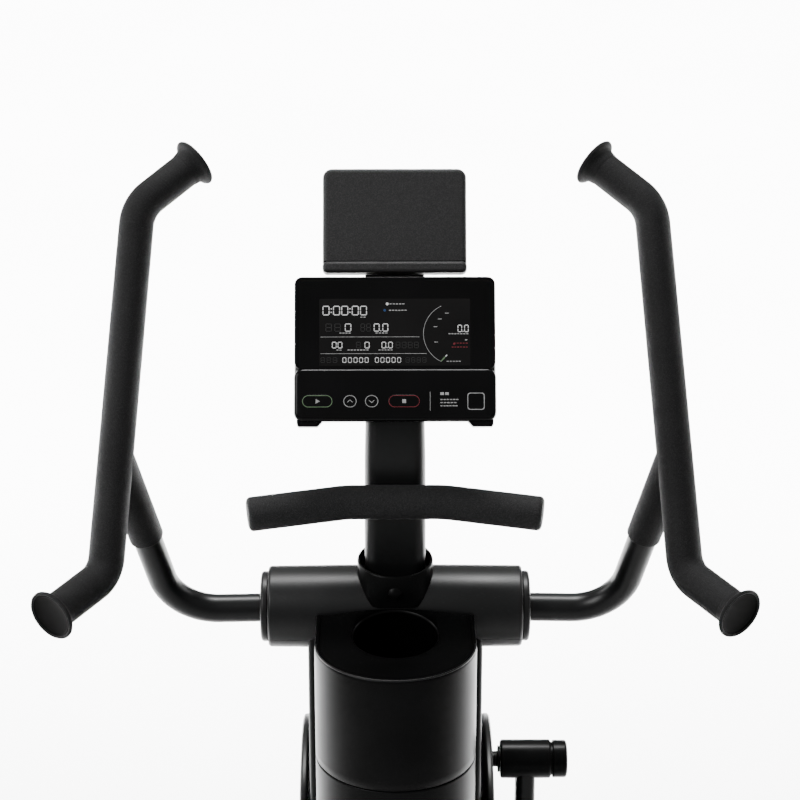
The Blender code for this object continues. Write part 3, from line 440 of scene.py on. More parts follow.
def round_profile(profile, radius):
    """A turned profile with its inner corners rounded."""
    points = [Vector((r, h, 0.0)) for r, h in profile]
    made = [points[0]]
    for before, corner, after in zip(points, points[1:], points[2:]):
        reach = min(radius, (before - corner).length * 0.45, (after - corner).length * 0.45)
        start = corner + (before - corner).normalized() * reach
        end = corner + (after - corner).normalized() * reach
        made += eased(start, corner, end, 4)
    made.append(points[-1])
    return [(max(point.x, 0.0), point.y) for point in made]


def turned(name, profile, base, direction, material, body, nodes=(), radius=0.001, sides=64, angle=35.0):
    bm = bmesh.new()
    lathe(bm, round_profile(profile, radius), base, direction, sides)
    return finish_piece(name, bm, material, body, nodes, angle)


def mirrored(profile):
    """The other half of a turned profile that is the same at both ends."""
    return [(radius, -height) for radius, height in reversed(profile)]


def arc(centre, radius, start, end, steps):
    angles = [start + (end - start) * i / steps for i in range(steps + 1)]
    return [Vector((centre[0] + radius * math.cos(a), centre[1] + radius * math.sin(a))) for a in angles]


def rounded_box(low, high, radius, steps=8):
    """A rectangle's outline with round corners, counterclockwise."""
    quarter = math.pi / 2
    centres = [(high[0] - radius, high[1] - radius), (low[0] + radius, high[1] - radius)]
    centres += [(low[0] + radius, low[1] + radius), (high[0] - radius, low[1] + radius)]
    outline = []
    for i, centre in enumerate(centres):
        outline += arc(centre, radius, quarter * i, quarter * (i + 1), steps)
    return outline


def rounded_polygon(corners, radius, steps=8):
    count = len(corners)
    outline = []
    for i in range(count):
        three = [Vector((*corners[(i + k) % count], 0.0)) for k in (-1, 0, 1)]
        outline += [point.xy for point in bend_path(three, (radius,), steps)[1:-1]]
    return outline


def prism(bm, outline, low, high, upright=False):
    """An outline made thick along Z or, upright, an outline in Y and Z made thick along X."""
    def at(point, depth):
        return Vector((depth, point[0], point[1])) if upright else Vector((point[0], point[1], depth))
    add_rings(bm, [[at(point, depth) for point in outline] for depth in (low, high)])


def prism_piece(name, outline, span, material, body="root", nodes=(), upright=False, **finish):
    bm = bmesh.new()
    prism(bm, outline, *span, upright)
    return finish_piece(name, bm, material, body, nodes, **finish)


def quarter_round(width, height, steps):
    """The (inward, up) points of a rounded edge, from its foot to its crest."""
    turns = [math.pi / 2 * i / steps for i in range(1, steps + 1)]
    return [(width * (1 - math.cos(a)), height * math.sin(a)) for a in turns]


def boxed_rings(low, high, corner, plan, steps):
    """A box's plan as rounded rectangles, each shrunk and lifted as the plan of (inward, z) says."""
    rings = []
    for inward, z in plan:
        inset = Vector((inward, inward))
        outline = rounded_box(low.xy + inset, high.xy - inset, corner - inward, steps)
        rings.append([Vector((p.x, p.y, z)) for p in outline])
    return rings


def carve(obj, cutter_bm, name, angle):
    """Cuts a shape from a piece for good, and marks the sharp edges anew."""
    bmesh.ops.recalc_face_normals(cutter_bm, faces=cutter_bm.faces)
    cutter = new_object(name, new_mesh(name, cutter_bm))
    modifier = obj.modifiers.new("carve", "BOOLEAN")
    modifier.operation = "DIFFERENCE"
    modifier.object = cutter
    bpy.context.view_layer.update()
    evaluated = obj.evaluated_get(bpy.context.evaluated_depsgraph_get())
    result = bpy.data.meshes.new_from_object(evaluated)
    obj.modifiers.remove(modifier)
    obj.data = result
    bpy.data.objects.remove(cutter, do_unlink=True)
    smooth(obj.data, angle)


# Arms.


def arm_point(side, point):
    return HUB + Vector((SIDES[side] * point[0], point[1], point[2]))


def build_arm(side):
    body = f"{side}_arm"
    line = [arm_point(side, point) for point in ARM_LINE]
    down = (line[0] - line[1]).normalized()
    up = (line[3] - line[2]).normalized()
    faces = line[0].copy(), line[3].copy()
    line[0] -= down * 0.004
    line[3] -= up * 0.004
    path = refine(bend_path(line, ARM_BENDS, 16), 0.012)
    radii = [foam_radius(path[0], path[-1], point) for point in path]
    tube(f"{side}_grip_sleeve", path, radii, FOAM, body, [f"{side}_grip_foam"])
    corner, join_at = arm_point(side, STRUT_CORNER), arm_point(side, STRUT_JOIN)
    step = corner.lerp(join_at, STRUT_STEP)
    inner_end = arm_point(side, (0.06, 0.0, 0.0))
    strut = bend_path([inner_end, corner, join_at], (STRUT_BEND,), 28)
    strut[-1] = step + (join_at - step) * 0.3
    tube(f"{side}_strut_tube", strut, [STRUT_RADIUS] * len(strut), PAINT, body, [f"{side}_arm_tube"])
    sleeve = soft_ends([step, step.lerp(join_at, 0.5), join_at], STRUT_FOAM_RADIUS, 0.0022, False)
    tube(f"{side}_strut_sleeve", *sleeve, FOAM, body, [f"{side}_strut_foam"])
    for place, face, direction in (("bottom", faces[0], down), ("top", faces[1], up)):
        flared_cap(side, place, face, direction)


def refine(path, spacing):
    """The path with long stretches divided, so that its radius can change along them."""
    fine = [path[0]]
    for before, after in zip(path, path[1:]):
        parts = max(1, round((after - before).length / spacing))
        fine += [before.lerp(after, (i + 1) / parts) for i in range(parts)]
    return fine


def foam_radius(bottom, top, point):
    """The grip is a little fuller at the bottom, where its foam is pushed together."""
    height = (point.z - bottom.z) / (top.z - bottom.z)
    return FOAM_RADIUS + 0.0008 * (0.5 - height)


def flared_cap(side, place, face, direction):
    """A rolled rim that flares from the foam in a tight curve, with a dished end face."""
    rim = CAP_RADIUS if place == "top" else CAP_RADIUS + 0.0008
    neck = FOAM_RADIUS + (0.0001 if place == "top" else 0.0005)
    profile = [(0.0, -0.004), (0.0228, -0.004), (0.0244, -0.0018), (rim - 0.0024, -0.0002)]
    profile += [(rim - 0.0014, 0.0), (rim, -0.0018), (rim, -0.0034), (rim - 0.0016, -0.0054)]
    profile += [(neck + 0.003, -0.0078), (neck + 0.0009, -0.0115), (neck + 0.0001, -0.0165)]
    profile += [(neck - 0.0006, -0.0185), (0.0, -0.0185)]
    node = f"{side}_{place}_cap"
    turned(f"{node}_horn", profile, face, direction, FOAM, f"{side}_arm", [node], 0.0022)
    dish = [(0.0, -0.003), (0.017, -0.0027), (0.0226, -0.0018), (0.025, -0.0008), (0.0254, -0.0024)]
    dish.append((0.0, -0.006))
    turned(f"{node}_face", dish, face, direction, CAP_RUBBER, f"{side}_arm", (), 0.0008)


# Hub, mast, collar and handlebar.


def build_hub():
    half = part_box("hub_shell")[1].x
    end, middle = HUB_END_RADIUS, HUB_MIDDLE_RADIUS
    edge = [(0.036, half - 0.001), (end - 0.0026, half - 0.001), (end - 0.0022, half), (end, half - 0.0024)]
    edge.append((middle - 0.0006, half / 2))
    profile = edge + [(middle, 0.0)] + mirrored(edge)
    shell = turned("hub_barrel", profile, HUB, (1, 0, 0), SATIN, "root", ["hub_shell"], 0.0016, 96)
    for side, sign in SIDES.items():
        ring = [(0.0188, 0.0044), (0.035, 0.0044), (0.0392, 0.0036), (0.0408, 0.0016)]
        ring += [(0.0408, -0.0042), (0.0188, -0.0042)]
        node = f"{side}_hub_ring"
        centre = Vector((sum(corner.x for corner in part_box(node)) / 2, HUB.y, HUB.z))
        turned(f"{side}_hub_collar", ring, centre, (sign, 0, 0), SATIN, "root", [node], 0.0012)
    seam(shell)


def seam(shell):
    """The moulding line along the user's side of the barrel, as a hairline groove."""
    groove = bmesh.new()
    bmesh.ops.create_cube(groove, size=1.0)
    bmesh.ops.scale(groove, vec=(0.4, 0.003, 0.0007), verts=groove.verts)
    bmesh.ops.translate(groove, vec=HUB + Vector((0.0, -0.0405, -0.0245)), verts=groove.verts)
    carve(shell, groove, "seam_groove", 35)


UP = Vector((0.0, math.sin(CONSOLE_TILT), math.cos(CONSOLE_TILT)))
OUT = Vector((0.0, -math.cos(CONSOLE_TILT), math.sin(CONSOLE_TILT)))
CONSOLE_FOOT = HUB + Vector((0.0, -0.045, 0.246))
SHELF_FOOT = HUB + Vector((0.0, 0.045, 0.39))


def console_frame(foot):
    turn = Matrix((Vector((1, 0, 0)), UP, OUT)).transposed().to_4x4()
    return Matrix.Translation(foot) @ turn


def mast_rings():
    """Sections of the mast: upright from the hub, then leaning with the console."""
    behind_face = 0.049
    foot = (CONSOLE_FOOT - HUB - OUT * behind_face).yz
    start, corner, end = Vector((0.0, foot.y - 0.034)), Vector((0.0, foot.y - 0.002)), foot + UP.yz * 0.03
    top = foot + UP.yz * 0.244
    bend = 10
    # Each station is y, z, the share of the tilt, width and depth.
    stations = [(0.0, 0.03, 0.0, 0.07, 0.042), (0.0, 0.1, 0.0, 0.07, 0.042)]
    for i, point in enumerate(eased(start, corner, end, bend)):
        t = i / bend
        stations.append((*point, t, 0.069 - 0.003 * t, 0.041 - 0.005 * t))
    stations.append((*top, 1.0, 0.061, 0.036))
    rings = []
    for y, z, share, width, depth in stations:
        turn = Matrix.Rotation(-CONSOLE_TILT * share, 3, "X")
        half = Vector((width / 2, depth / 2))
        flat = rounded_box(-half, half, 0.0145, 10)
        rings.append([HUB + Vector((0.0, y, z)) + turn @ p.to_3d() for p in flat])
    return rings


def build_mast():
    loft("mast_column", mast_rings(), SATIN, "root", ["mast"], edge=0.0012)
    collar()


# Each section is y, z, width, depth, slope and roundness. The lip's rings are inward and up from the last.
COLLAR_SECTIONS = (
    (-0.0275, 0.02, 0.06, 0.04, 0.0, 0.6),
    (-0.0235, 0.0228, 0.066, 0.048, 0.02, 0.66),
    (-0.015, 0.029, 0.08, 0.064, 0.05, 0.8),
    (-0.011, 0.035, 0.0862, 0.074, 0.08, 0.92),
    (-0.007, 0.048, 0.0875, 0.082, 0.11, 0.98),
    (-0.0045, 0.061, 0.0872, 0.084, 0.13, 0.99),
)
COLLAR_LIP = ((0.0006, 0.0014), (0.0018, 0.0021), (0.003, 0.0014), (0.0036, -0.0004), (0.004, -0.016))


def collar():
    """The collar round the mast's foot: a cup that runs down over the barrel as a shield."""
    rings = []
    for y, z, width, depth, slope, roundness in COLLAR_SECTIONS:
        rings.append(collar_ring(y, z, width / 2, depth / 2, slope, roundness))
    y, z, width, depth, slope, roundness = COLLAR_SECTIONS[-1]
    for inward, rise in COLLAR_LIP:
        rings.append(collar_ring(y, z + rise, width / 2 - inward, depth / 2 - inward, slope, roundness))
    loft("mast_foot_collar", rings, DARK, "root", ["mast_collar"], angle=60)
    boss = [(0.0, 0.003), (0.0028, 0.0029), (0.0055, 0.002), (0.0078, 0.0004), (0.0086, -0.0016)]
    boss.append((0.0, -0.003))
    place = HUB + Vector((0.0, -0.0478, 0.04))
    turned("collar_boss", boss, place, (0.0, -0.9, 0.44), DARK, "root", (), 0.0022, 40)


def collar_ring(y, z, half_x, half_y, slope, roundness):
    half = Vector((half_x, half_y))
    flat = rounded_box(-half, half, min(half) * roundness, 10)
    return [HUB + Vector((p.x, y + p.y, z + p.y * slope)) for p in flat]


def build_handlebar():
    y, z = HUB.y - 0.0405, HUB.z + 0.148
    end_x, end_y, end_z = 0.1655, y - 0.0197, z - 0.0064
    points = [(-end_x, end_y, end_z), (-0.055, y, z), (0.055, y, z), (end_x, end_y, end_z)]
    sleeve = soft_ends(bend_path(points, (0.1, 0.1), 14), BAR_FOAM_RADIUS, 0.0055)
    tube("handlebar_sleeve", *sleeve, BAR_FOAM_PAINTED_LIGHT, "root", ["handlebar_foam"])


# Column.


def column_plan(half, centre_y, back_y, inward=0.0, steps=40):
    front = arc((0.0, centre_y), half - inward, math.pi, 2 * math.pi, steps)
    return front + [Vector((half - inward, back_y - inward)), Vector((inward - half, back_y - inward))]


def build_column():
    low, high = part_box("column_shell")
    half = high.x
    centre_y = low.y + half
    shell_top = high.z - 0.0006
    plan = column_plan(half, centre_y, high.y)
    prism_piece("column_front", plan, (low.z, shell_top), DARK, nodes=["column_shell"], edge=0.0016)
    build_tray(half, centre_y)
    for side, sign in SIDES.items():
        housing(side, sign)


def build_tray(half, centre_y):
    """The head of the column with its rolled rim and the cup well."""
    low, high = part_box("cup_tray")
    plan = [(0.0012, low.z), (0.0002, low.z + 0.0012), (0.0, low.z + 0.01), (0.0, high.z - 0.005)]
    plan += [(inward, high.z - 0.005 + up) for inward, up in quarter_round(0.0034, 0.005, 6)]
    plan += [(0.005, high.z - 0.0004), (0.006, high.z - 0.0014)]
    back = high.y - 0.0065
    front_steps, crown_steps = 72, 24
    rings = []
    for inward, z in plan:
        rings.append([Vector((p.x, p.y, z)) for p in column_plan(half, centre_y, back, inward, front_steps)])
    edge = rings[-1]
    apex = Vector((0.0, edge[-1].y))
    for i in range(1, crown_steps):
        flat = [p.xy.lerp(apex, i / crown_steps) for p in edge]
        rings.append([Vector((*p, edge[0].z + crown(p, half, low.y, apex.y))) for p in flat])
    tray = loft("cup_holder_head", rings, DARK, "root", ["cup_tray"], angle=42)
    # The faces that look up take the darker copy: painted shade on the head's top.
    tray.data.materials.append(PAINTED_SHADE_BLACK)
    for polygon in tray.data.polygons:
        polygon.material_index = int(polygon.normal.z > 0.6)
    cup = bmesh.new()
    top = high.z
    cup_y = HUB.y - 0.1115
    radius = CUP_RADIUS
    profile = [(0.0, top + 0.02), (radius + 0.0046, top + 0.02), (radius + 0.0046, top - 0.0004)]
    for i in range(7):
        a = math.pi / 2 * i / 6
        profile.append((radius + 0.0034 * (1 - math.sin(a)), top - 0.0004 - 0.0036 * (1 - math.cos(a))))
    floor = top - 0.0775
    profile += [(radius * 0.975, top - 0.06), (radius * 0.93, top - 0.0745), (radius * 0.84, floor)]
    profile.append((0.0, floor))
    lathe(cup, profile, (0.0, cup_y, 0.0), (0, 0, 1), 96)
    # The well's wall and floor below the lip take the darker copy: painted shade in the recess.
    for face in cup.faces:
        face.material_index = int(face.calc_center_median().z < top - 0.0045)
    for vertex in cup.verts:
        vertex.co.y = cup_y + (vertex.co.y - cup_y) * CUP_DEPTH_STRETCH
        if vertex.co.z > top - 0.01:
            vertex.co.z += crown(vertex.co, half, low.y, apex.y)
    carve(tray, cup, "cup_well", 42)
    spine = rounded_box((0.0015 - half, back - 0.003), (half - 0.0015, high.y), 0.002, 4)
    prism_piece("head_spine", spine, (low.z, high.z - 0.013), DARK, edge=0.0008)
    front_arc = column_plan(half, centre_y, back, 0.0016, front_steps)[: front_steps + 1]
    bead = [Vector((p.x, p.y, high.z - 0.0009)) for p in front_arc]
    tube("head_rim", bead, [0.0011] * len(bead), PAINT, "root", sides=10, angle=60)


def crown(point, half, front, back):
    """How far the head rises above its rim: it swells towards the middle of its back edge."""
    across = max(0.0, 1 - (point.x / half) ** 2)
    along = max(0.0, (point.y - front) / (back - front))
    return CROWN_HEIGHT * across * along**1.5


def housing(side, sign):
    """One half of the drive cover, with rounded outer edges."""
    low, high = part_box(f"{side}_housing")
    user_side, front, top = low.y, high.y, HUB.z - 0.015
    corners = [(user_side, low.z), (front, low.z), (front, 0.8), (0.33, 0.97), (0.21, top), (user_side, top)]
    inner = 0.0005
    outer = max(abs(low.x), abs(high.x))
    depths = [(inner, 0.0), (outer - 0.01, 0.0)]
    depths += [(outer - 0.01 + up, inward) for inward, up in quarter_round(0.0085, 0.01, 6)]
    outline = rounded_polygon(corners, 0.014)
    middle = Vector((sum(p.x for p in outline), sum(p.y for p in outline))) / len(outline)
    rings = []
    for depth, inward in depths:
        shrunk = [p + Vector([math.copysign(inward, toward) for toward in middle - p]) for p in outline]
        rings.append([Vector((sign * depth, *p)) for p in shrunk])
    loft(f"{side}_drive_cover", rings, DARK, "root", [f"{side}_housing"], angle=40)


# Cranks, legs and links.


def build_cranks():
    """Each plate with the stub of its pin. Profiles are (radius, distance from the machine's middle)."""
    for side, sign in SIDES.items():
        rim = PLATE_RIM[side]
        profile = [(0.0, 0.1225), (0.015, 0.1225), (0.029, 0.122), (0.03, rim - 0.0012)]
        profile += [(0.042, rim - 0.0012), (0.046, rim - 0.0032), (0.104, rim - 0.0032)]
        profile += [(0.108, rim - 0.001), (0.168, rim), (0.171, rim - 0.002), (0.171, rim - 0.0074)]
        profile += [(0.1692, rim - 0.0094), (0.15, 0.105), (0.0, 0.105)]
        node = f"{side}_crank_disc"
        turned(f"{side}_crank_plate", profile, CRANK, (sign, 0, 0), SATIN, "crank", [node], 0.002, 128)
        stub = [(0.0, 0.1286), (0.0155, 0.1286), (0.0164, 0.1276), (0.0164, 0.1262), (0.0096, 0.1258)]
        stub += [(0.0096, 0.1196), (0.015, 0.1188), (0.015, 0.112), (0.0, 0.112)]
        turned(f"{side}_pin_stub", stub, PINS[side], (sign, 0, 0), DARK, "crank", (), 0.0006, 48)


def leg_parts(side, sign, pin):
    """The bearing barrel on its pin, its plug and washer, and the bent bar down to the pedal."""
    body = f"{side}_leg"
    barrel = [(0.0105, 0.1292), (0.0215, 0.1292), (0.0238, 0.131)]
    barrel += [(0.0238, 0.1896), (0.0222, 0.1914), (0.0105, 0.1914)]
    plug = [(0.0, 0.2116), (0.0195, 0.2116), (0.023, 0.2096)]
    plug += [(0.023, 0.1945), (0.0222, 0.1934), (0.0, 0.1934)]
    washer = [(0.0, 0.1936), (0.0205, 0.1936), (0.0205, 0.1912), (0.0, 0.1912)]
    for tag, profile, nodes, radius, sides in (
        ("bearing", barrel, (), 0.001, 64),
        ("plug", plug, [f"{side}_leg_cap"], 0.0016, 64),
        ("washer", washer, (), 0.0003, 48),
    ):
        turned(f"{side}_leg_{tag}", profile, pin, (sign, 0, 0), DARK, body, nodes, radius, sides)
    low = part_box(f"{side}_leg")[0]
    half = 0.02
    foot_z = low.z + half
    front, back = pin.y + half, pin.y - half
    corners = [(low.y, foot_z - half), (front, foot_z - half), (front, pin.z), (back, pin.z)]
    corners += [(back, foot_z + 0.06), (pin.y - 0.08, foot_z + half), (low.y, foot_z + half)]
    span = sorted((sign * 0.1489, sign * 0.1723))
    outline = rounded_polygon(corners, 0.012, 6)
    prism_piece(f"{side}_leg_bar", outline, span, PAINT, body, [body], True, edge=0.0085, segments=6)
    pedal(side, body)


def pedal(side, body):
    """A moulded foot platform with a raised rim and a ribbed mat."""
    low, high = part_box(f"{side}_pedal")
    plan = [(0.01, low.z), (0.003, low.z + 0.003), (0.0005, low.z + 0.01), (0.0, high.z - 0.004)]
    plan += [(inward, high.z - 0.004 + up) for inward, up in quarter_round(0.004, 0.004, 4)]
    plan += [(0.0075, high.z - 0.001), (0.0095, low.z + 0.0155), (0.0105, low.z + 0.0125)]
    rings = boxed_rings(low, high, 0.026, plan, 8)
    loft(f"{side}_foot_platform", rings, SATIN, body, [f"{side}_pedal"], angle=50)
    low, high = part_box(f"{side}_pedal_mat")
    bm = bmesh.new()
    inset = Vector((0.003, 0.003))
    outline = rounded_box(low.xy + inset, high.xy - inset, 0.018)
    prism(bm, outline, low.z + 0.0002, high.z - 0.0025)
    ribs, margin = 22, 0.018
    run = (high.y - low.y - 2 * margin) / ribs
    for i in range(ribs):
        half = Vector(((high.x - low.x) / 2 - 0.01, run * 0.29))
        centre = Vector(((low.x + high.x) / 2, low.y + margin + (i + 0.5) * run))
        prism(bm, rounded_box(centre - half, centre + half, run * 0.28, 3), high.z - 0.0027, high.z)
    finish_piece(f"{side}_ribbed_mat", bm, RUBBER, body, [f"{side}_pedal_mat"], angle=40)


def build_legs():
    for side, sign in SIDES.items():
        leg_parts(side, sign, PINS[side])
        link_parts(side, sign)


def link_parts(side, sign):
    """A pressed swing link with a boss at each end."""
    low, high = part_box(f"{side}_link")
    radius = 0.018
    end_y = low.y + radius
    end_z = high.z - radius if side == "right" else low.z + radius
    heading = math.atan2(end_z - LINK.z, end_y - LINK.y)
    quarter = math.pi / 2
    outline = arc((end_y, end_z), radius, heading - quarter, heading + quarter, 16)
    outline += arc((LINK.y, LINK.z), radius, heading + quarter, heading + 3 * quarter, 16)
    body = f"{side}_link"
    span = sorted((sign * 0.1225, sign * 0.1395))
    prism_piece(f"{side}_swing_link", outline, span, PAINT, body, [body], True, edge=0.003)
    for tag, y, z, far in (("front", LINK.y, LINK.z, 0.142), ("rear", end_y, end_z, 0.1482)):
        boss = [(0.0, far), (0.0085, far), (0.009, far - 0.0008), (0.009, 0.1412)]
        boss += [(0.015, 0.141), (0.015, 0.1206), (0.0, 0.1206)]
        turned(f"{side}_link_{tag}_boss", boss, (0.0, y, z), (sign, 0, 0), PAINT, body, (), 0.0006, 48)


# Console and shelf.


def slab(name, low, high, corner, material, nodes=(), edge=0.0, foot=CONSOLE_FOOT, body="root", segments=3):
    """A plate with round corners, in the console's tilted frame."""
    outline = rounded_box(low, high, corner)
    finish = {"edge": edge, "matrix": console_frame(foot), "segments": segments}
    prism_piece(name, outline, (low[2], high[2]), material, body, nodes, **finish)


def build_console():
    half = CONSOLE_HALF
    back_low, back_high = (-half, 0.0065, -0.028), (half, CONSOLE_TOP, -0.0043)
    slab("console_back", back_low, back_high, 0.009, SATIN, ["console_housing"], 0.0045)
    face_low, face_high = (-half, CONTROL_TOP + 0.0003, -0.004), (half, CONSOLE_TOP, 0.0)
    slab("display_face", face_low, face_high, 0.0085, GLOSS, ["display_panel"], 0.0012)
    lens_low, lens_high = (-0.0845, 0.0635, -0.001), (0.084, 0.139, 0.00025)
    slab("display_lens", lens_low, lens_high, 0.0015, WINDOW, ["display_window"])
    control_panel(half)
    display_graphics()
    key_faces()


def control_panel(half):
    """The proud lower panel with its rounded top, and a lug at each end of its lower edge."""
    low, high = (-half, 0.0, -0.004), (half, CONTROL_TOP, CONTROL_PROUD)
    slab("key_panel", low, high, 0.01, GLOSS, ["control_panel"], 0.0044, segments=6)
    lug = ((0.1095, 0.003), (0.109, -0.0042), (0.107, -0.0058), (0.086, -0.0058), (0.078, 0.003))
    finish = {"angle": 40, "edge": 0.0016, "matrix": console_frame(CONSOLE_FOOT)}
    for sign in SIDES.values():
        outline = [Vector((sign * x, y)) for x, y in lug]
        prism_piece(f"panel_foot_{sign}", outline, (-0.004, 0.0085), GLOSS, **finish)


def mark(name, outlines, material, depth=SCREEN_FACE, thick=0.00012, body="root"):
    """Thin printed or lit shapes on the console's face."""
    bm = bmesh.new()
    for outline in outlines:
        prism(bm, outline, depth, depth + thick)
    finish_piece(name, bm, material, body, angle=60, matrix=console_frame(CONSOLE_FOOT))


def bar(x0, y0, x1, y1, width):
    """A straight stroke with pointed ends, as a display segment has."""
    a, b = Vector((x0, y0)), Vector((x1, y1))
    run = (b - a).normalized()
    side = Vector((-run.y, run.x)) * (width / 2)
    nose = run * (width / 2)
    return [a, a + nose - side, b - nose - side, b, b - nose + side, a + nose + side]


SEGMENTS = {"0": "abcdef", "8": "abcdefg"}


def digit(char, x, y, width, height, stroke):
    """The strokes of one seven-segment numeral with its lower left corner at x, y."""
    gap = stroke * 0.18
    left, right, low, middle, high = x, x + width, y, y + height / 2, y + height
    strokes = {
        "a": (left + gap, high, right - gap, high), "b": (right, high - gap, right, middle + gap),
        "c": (right, middle - gap, right, low + gap), "d": (left + gap, low, right - gap, low),
        "e": (left, middle - gap, left, low + gap), "f": (left, high - gap, left, middle + gap),
        "g": (left + gap, middle, right - gap, middle),
    }
    return [bar(*strokes[key], stroke * 0.86) for key in SEGMENTS[char]]


def number(text, x, y, width, height, stroke, space):
    """A row of numerals, with round-cornered dots for its points and colons."""
    outlines = []
    for char in text:
        if char in ":.":
            dots = (y + height * 0.3, y + height * 0.7) if char == ":" else (y + stroke * 0.3,)
            for dot in dots:
                centre = Vector((x, dot))
                half = Vector((stroke * 0.55, stroke * 0.55))
                outlines.append(rounded_box(centre - half, centre + half, stroke * 0.3, 2))
            x += space * 0.55 + stroke
        else:
            outlines += digit(char, x, y, width, height, stroke)
            x += width + space
    return outlines


def rule(x0, x1, y, width):
    low, high = Vector((x0, y - width / 2)), Vector((x1, y + width / 2))
    return [low, Vector((high.x, low.y)), high, Vector((low.x, high.y))]


def dashes(x0, x1, y, width, count):
    """A row of short marks that stands for a line of small print."""
    step = (x1 - x0) / count
    return [rule(x0 + i * step, x0 + (i + 0.72) * step, y, width) for i in range(count)]


def ring_strokes(centre, radius, width, start, end, steps):
    """An arc drawn as short flat pieces."""
    inner, outer = (arc(centre, radius + shift, start, end, steps) for shift in (-width / 2, width / 2))
    return [[inner[i], outer[i], outer[i + 1], inner[i + 1]] for i in range(steps)]


# Numerals on the display, in metres on its face: text, lower left corner, width, height, stroke, space.
LIT_NUMERALS = (
    ("0:00:00", -0.0803, 0.1208, 0.0068, 0.0097, 0.0012, 0.0024),
    ("0", -0.0554, 0.1024, 0.0062, 0.0082, 0.0011, 0.002),
    ("0.0", -0.0232, 0.1024, 0.0056, 0.0082, 0.0011, 0.0019),
    ("00", -0.0699, 0.0835, 0.0044, 0.0065, 0.001, 0.002),
    ("0", -0.0335, 0.0835, 0.0048, 0.0065, 0.001, 0.002),
    ("0.0", -0.0146, 0.0835, 0.0043, 0.0065, 0.001, 0.0014),
    ("0.0", 0.0703, 0.1016, 0.0042, 0.0074, 0.001, 0.0014),
    ("00000", -0.0582, 0.0672, 0.0036, 0.0054, 0.0009, 0.0026),
    ("00000", -0.022, 0.0672, 0.0036, 0.0054, 0.0009, 0.0026),
)
UNLIT_NUMERALS = (
    ("88", -0.0771, 0.1024, 0.0062, 0.0082, 0.001, 0.0038),
    ("88", -0.038, 0.1024, 0.0042, 0.0082, 0.001, 0.0022),
    ("8", -0.043, 0.0835, 0.0044, 0.0065, 0.0009, 0.002),
    ("8888", 0.0012, 0.0835, 0.0044, 0.0065, 0.0009, 0.0024),
    ("888", -0.0826, 0.0672, 0.0042, 0.0054, 0.0008, 0.0026),
    ("8888", 0.0122, 0.0672, 0.0038, 0.0054, 0.0008, 0.0024),
)
# Short marks that stand for small print: from x, to x, height, count.
SMALL_PRINT = (
    (-0.0385, -0.0318, 0.1182, 2), (-0.0619, -0.0485, 0.1003, 4), (-0.0218, -0.0073, 0.1003, 4),
    (-0.0653, -0.0586, 0.0812, 2), (-0.053, -0.0285, 0.0812, 7), (-0.0184, -0.0017, 0.0812, 5),
    (-0.0061, 0.0117, 0.1331, 5), (-0.0066, 0.014, 0.1259, 6), (0.0597, 0.0827, 0.0993, 7),
    (0.0575, 0.0742, 0.0683, 5), (0.078, 0.0816, 0.0924, 1),
)
GAUGE_CENTRE = (0.0663, 0.0993)
GAUGE_RADIUS = 0.0345
GAUGE_MARKS = (
    (0.056, 0.0602, 0.1226), (0.048, 0.0522, 0.116), (0.0431, 0.0473, 0.1073), (0.0439, 0.0481, 0.09),
)


def display_graphics():
    """Numerals, rules and a gauge on the display, with plain marks where small print would be."""
    circle = (0.0008, 0.0016, 0, 2 * math.pi, 12)
    mark("lit_numerals", [stroke for row in LIT_NUMERALS for stroke in number(*row)], WHITE_GLOW)
    # The unlit segments and the printed marks glow faintly: painted glow.
    mark("unlit_numerals", [stroke for row in UNLIT_NUMERALS for stroke in number(*row)], DIM_SEGMENT_PAINTED_GLOW)
    fine = [rule(-0.0831, 0.0273, 0.0959, 0.0005), rule(-0.0831, 0.0352, 0.0771, 0.0005)]
    for x0, x1, y, count in SMALL_PRINT:
        fine += dashes(x0, x1, y, 0.0011, count)
    for x0, x1, y in GAUGE_MARKS:
        fine.append(rule(x0, x1, y, 0.0008))
    fine += ring_strokes(GAUGE_CENTRE, GAUGE_RADIUS, 0.0005, math.radians(115), math.radians(245), 40)
    mark("printed_marks", fine, GREY_PRINT_PAINTED_GLOW)
    mark("gauge_pointer", [bar(0.0508, 0.0679, 0.0562, 0.0737, 0.0014)], GREEN_PRINT_PAINTED_GLOW)
    mark("pointer_tip", [bar(0.056, 0.0735, 0.0582, 0.0757, 0.0012)], WHITE_GLOW)
    red = dashes(0.0688, 0.082, 0.0887, 0.0011, 4) + dashes(0.0631, 0.082, 0.0843, 0.0011, 6)
    mark("red_mark", red + [bar(0.0648, 0.087, 0.0676, 0.0892, 0.0024)], RED_PRINT_PAINTED_GLOW)
    mark("blue_mark", ring_strokes((-0.0114, 0.1259), *circle), BLUE_PRINT_PAINTED_GLOW)
    mark("white_mark", ring_strokes((-0.0086, 0.1331), *circle), WHITE_GLOW)


# Lines of marks beside the keys: to x, height, stroke, count.
PANEL_PRINT = (
    (0.061, 0.0305, 0.003, 2), (0.071, 0.024, 0.0011, 6),
    (0.069, 0.0205, 0.0011, 5), (0.07, 0.017, 0.0011, 6),
)
KEYS = {"start_key": GREEN_PRINT_PAINTED_GLOW, "up_key": GREY_PRINT_PAINTED_GLOW, "down_key": GREY_PRINT_PAINTED_GLOW, "stop_key": RED_PRINT_PAINTED_GLOW}


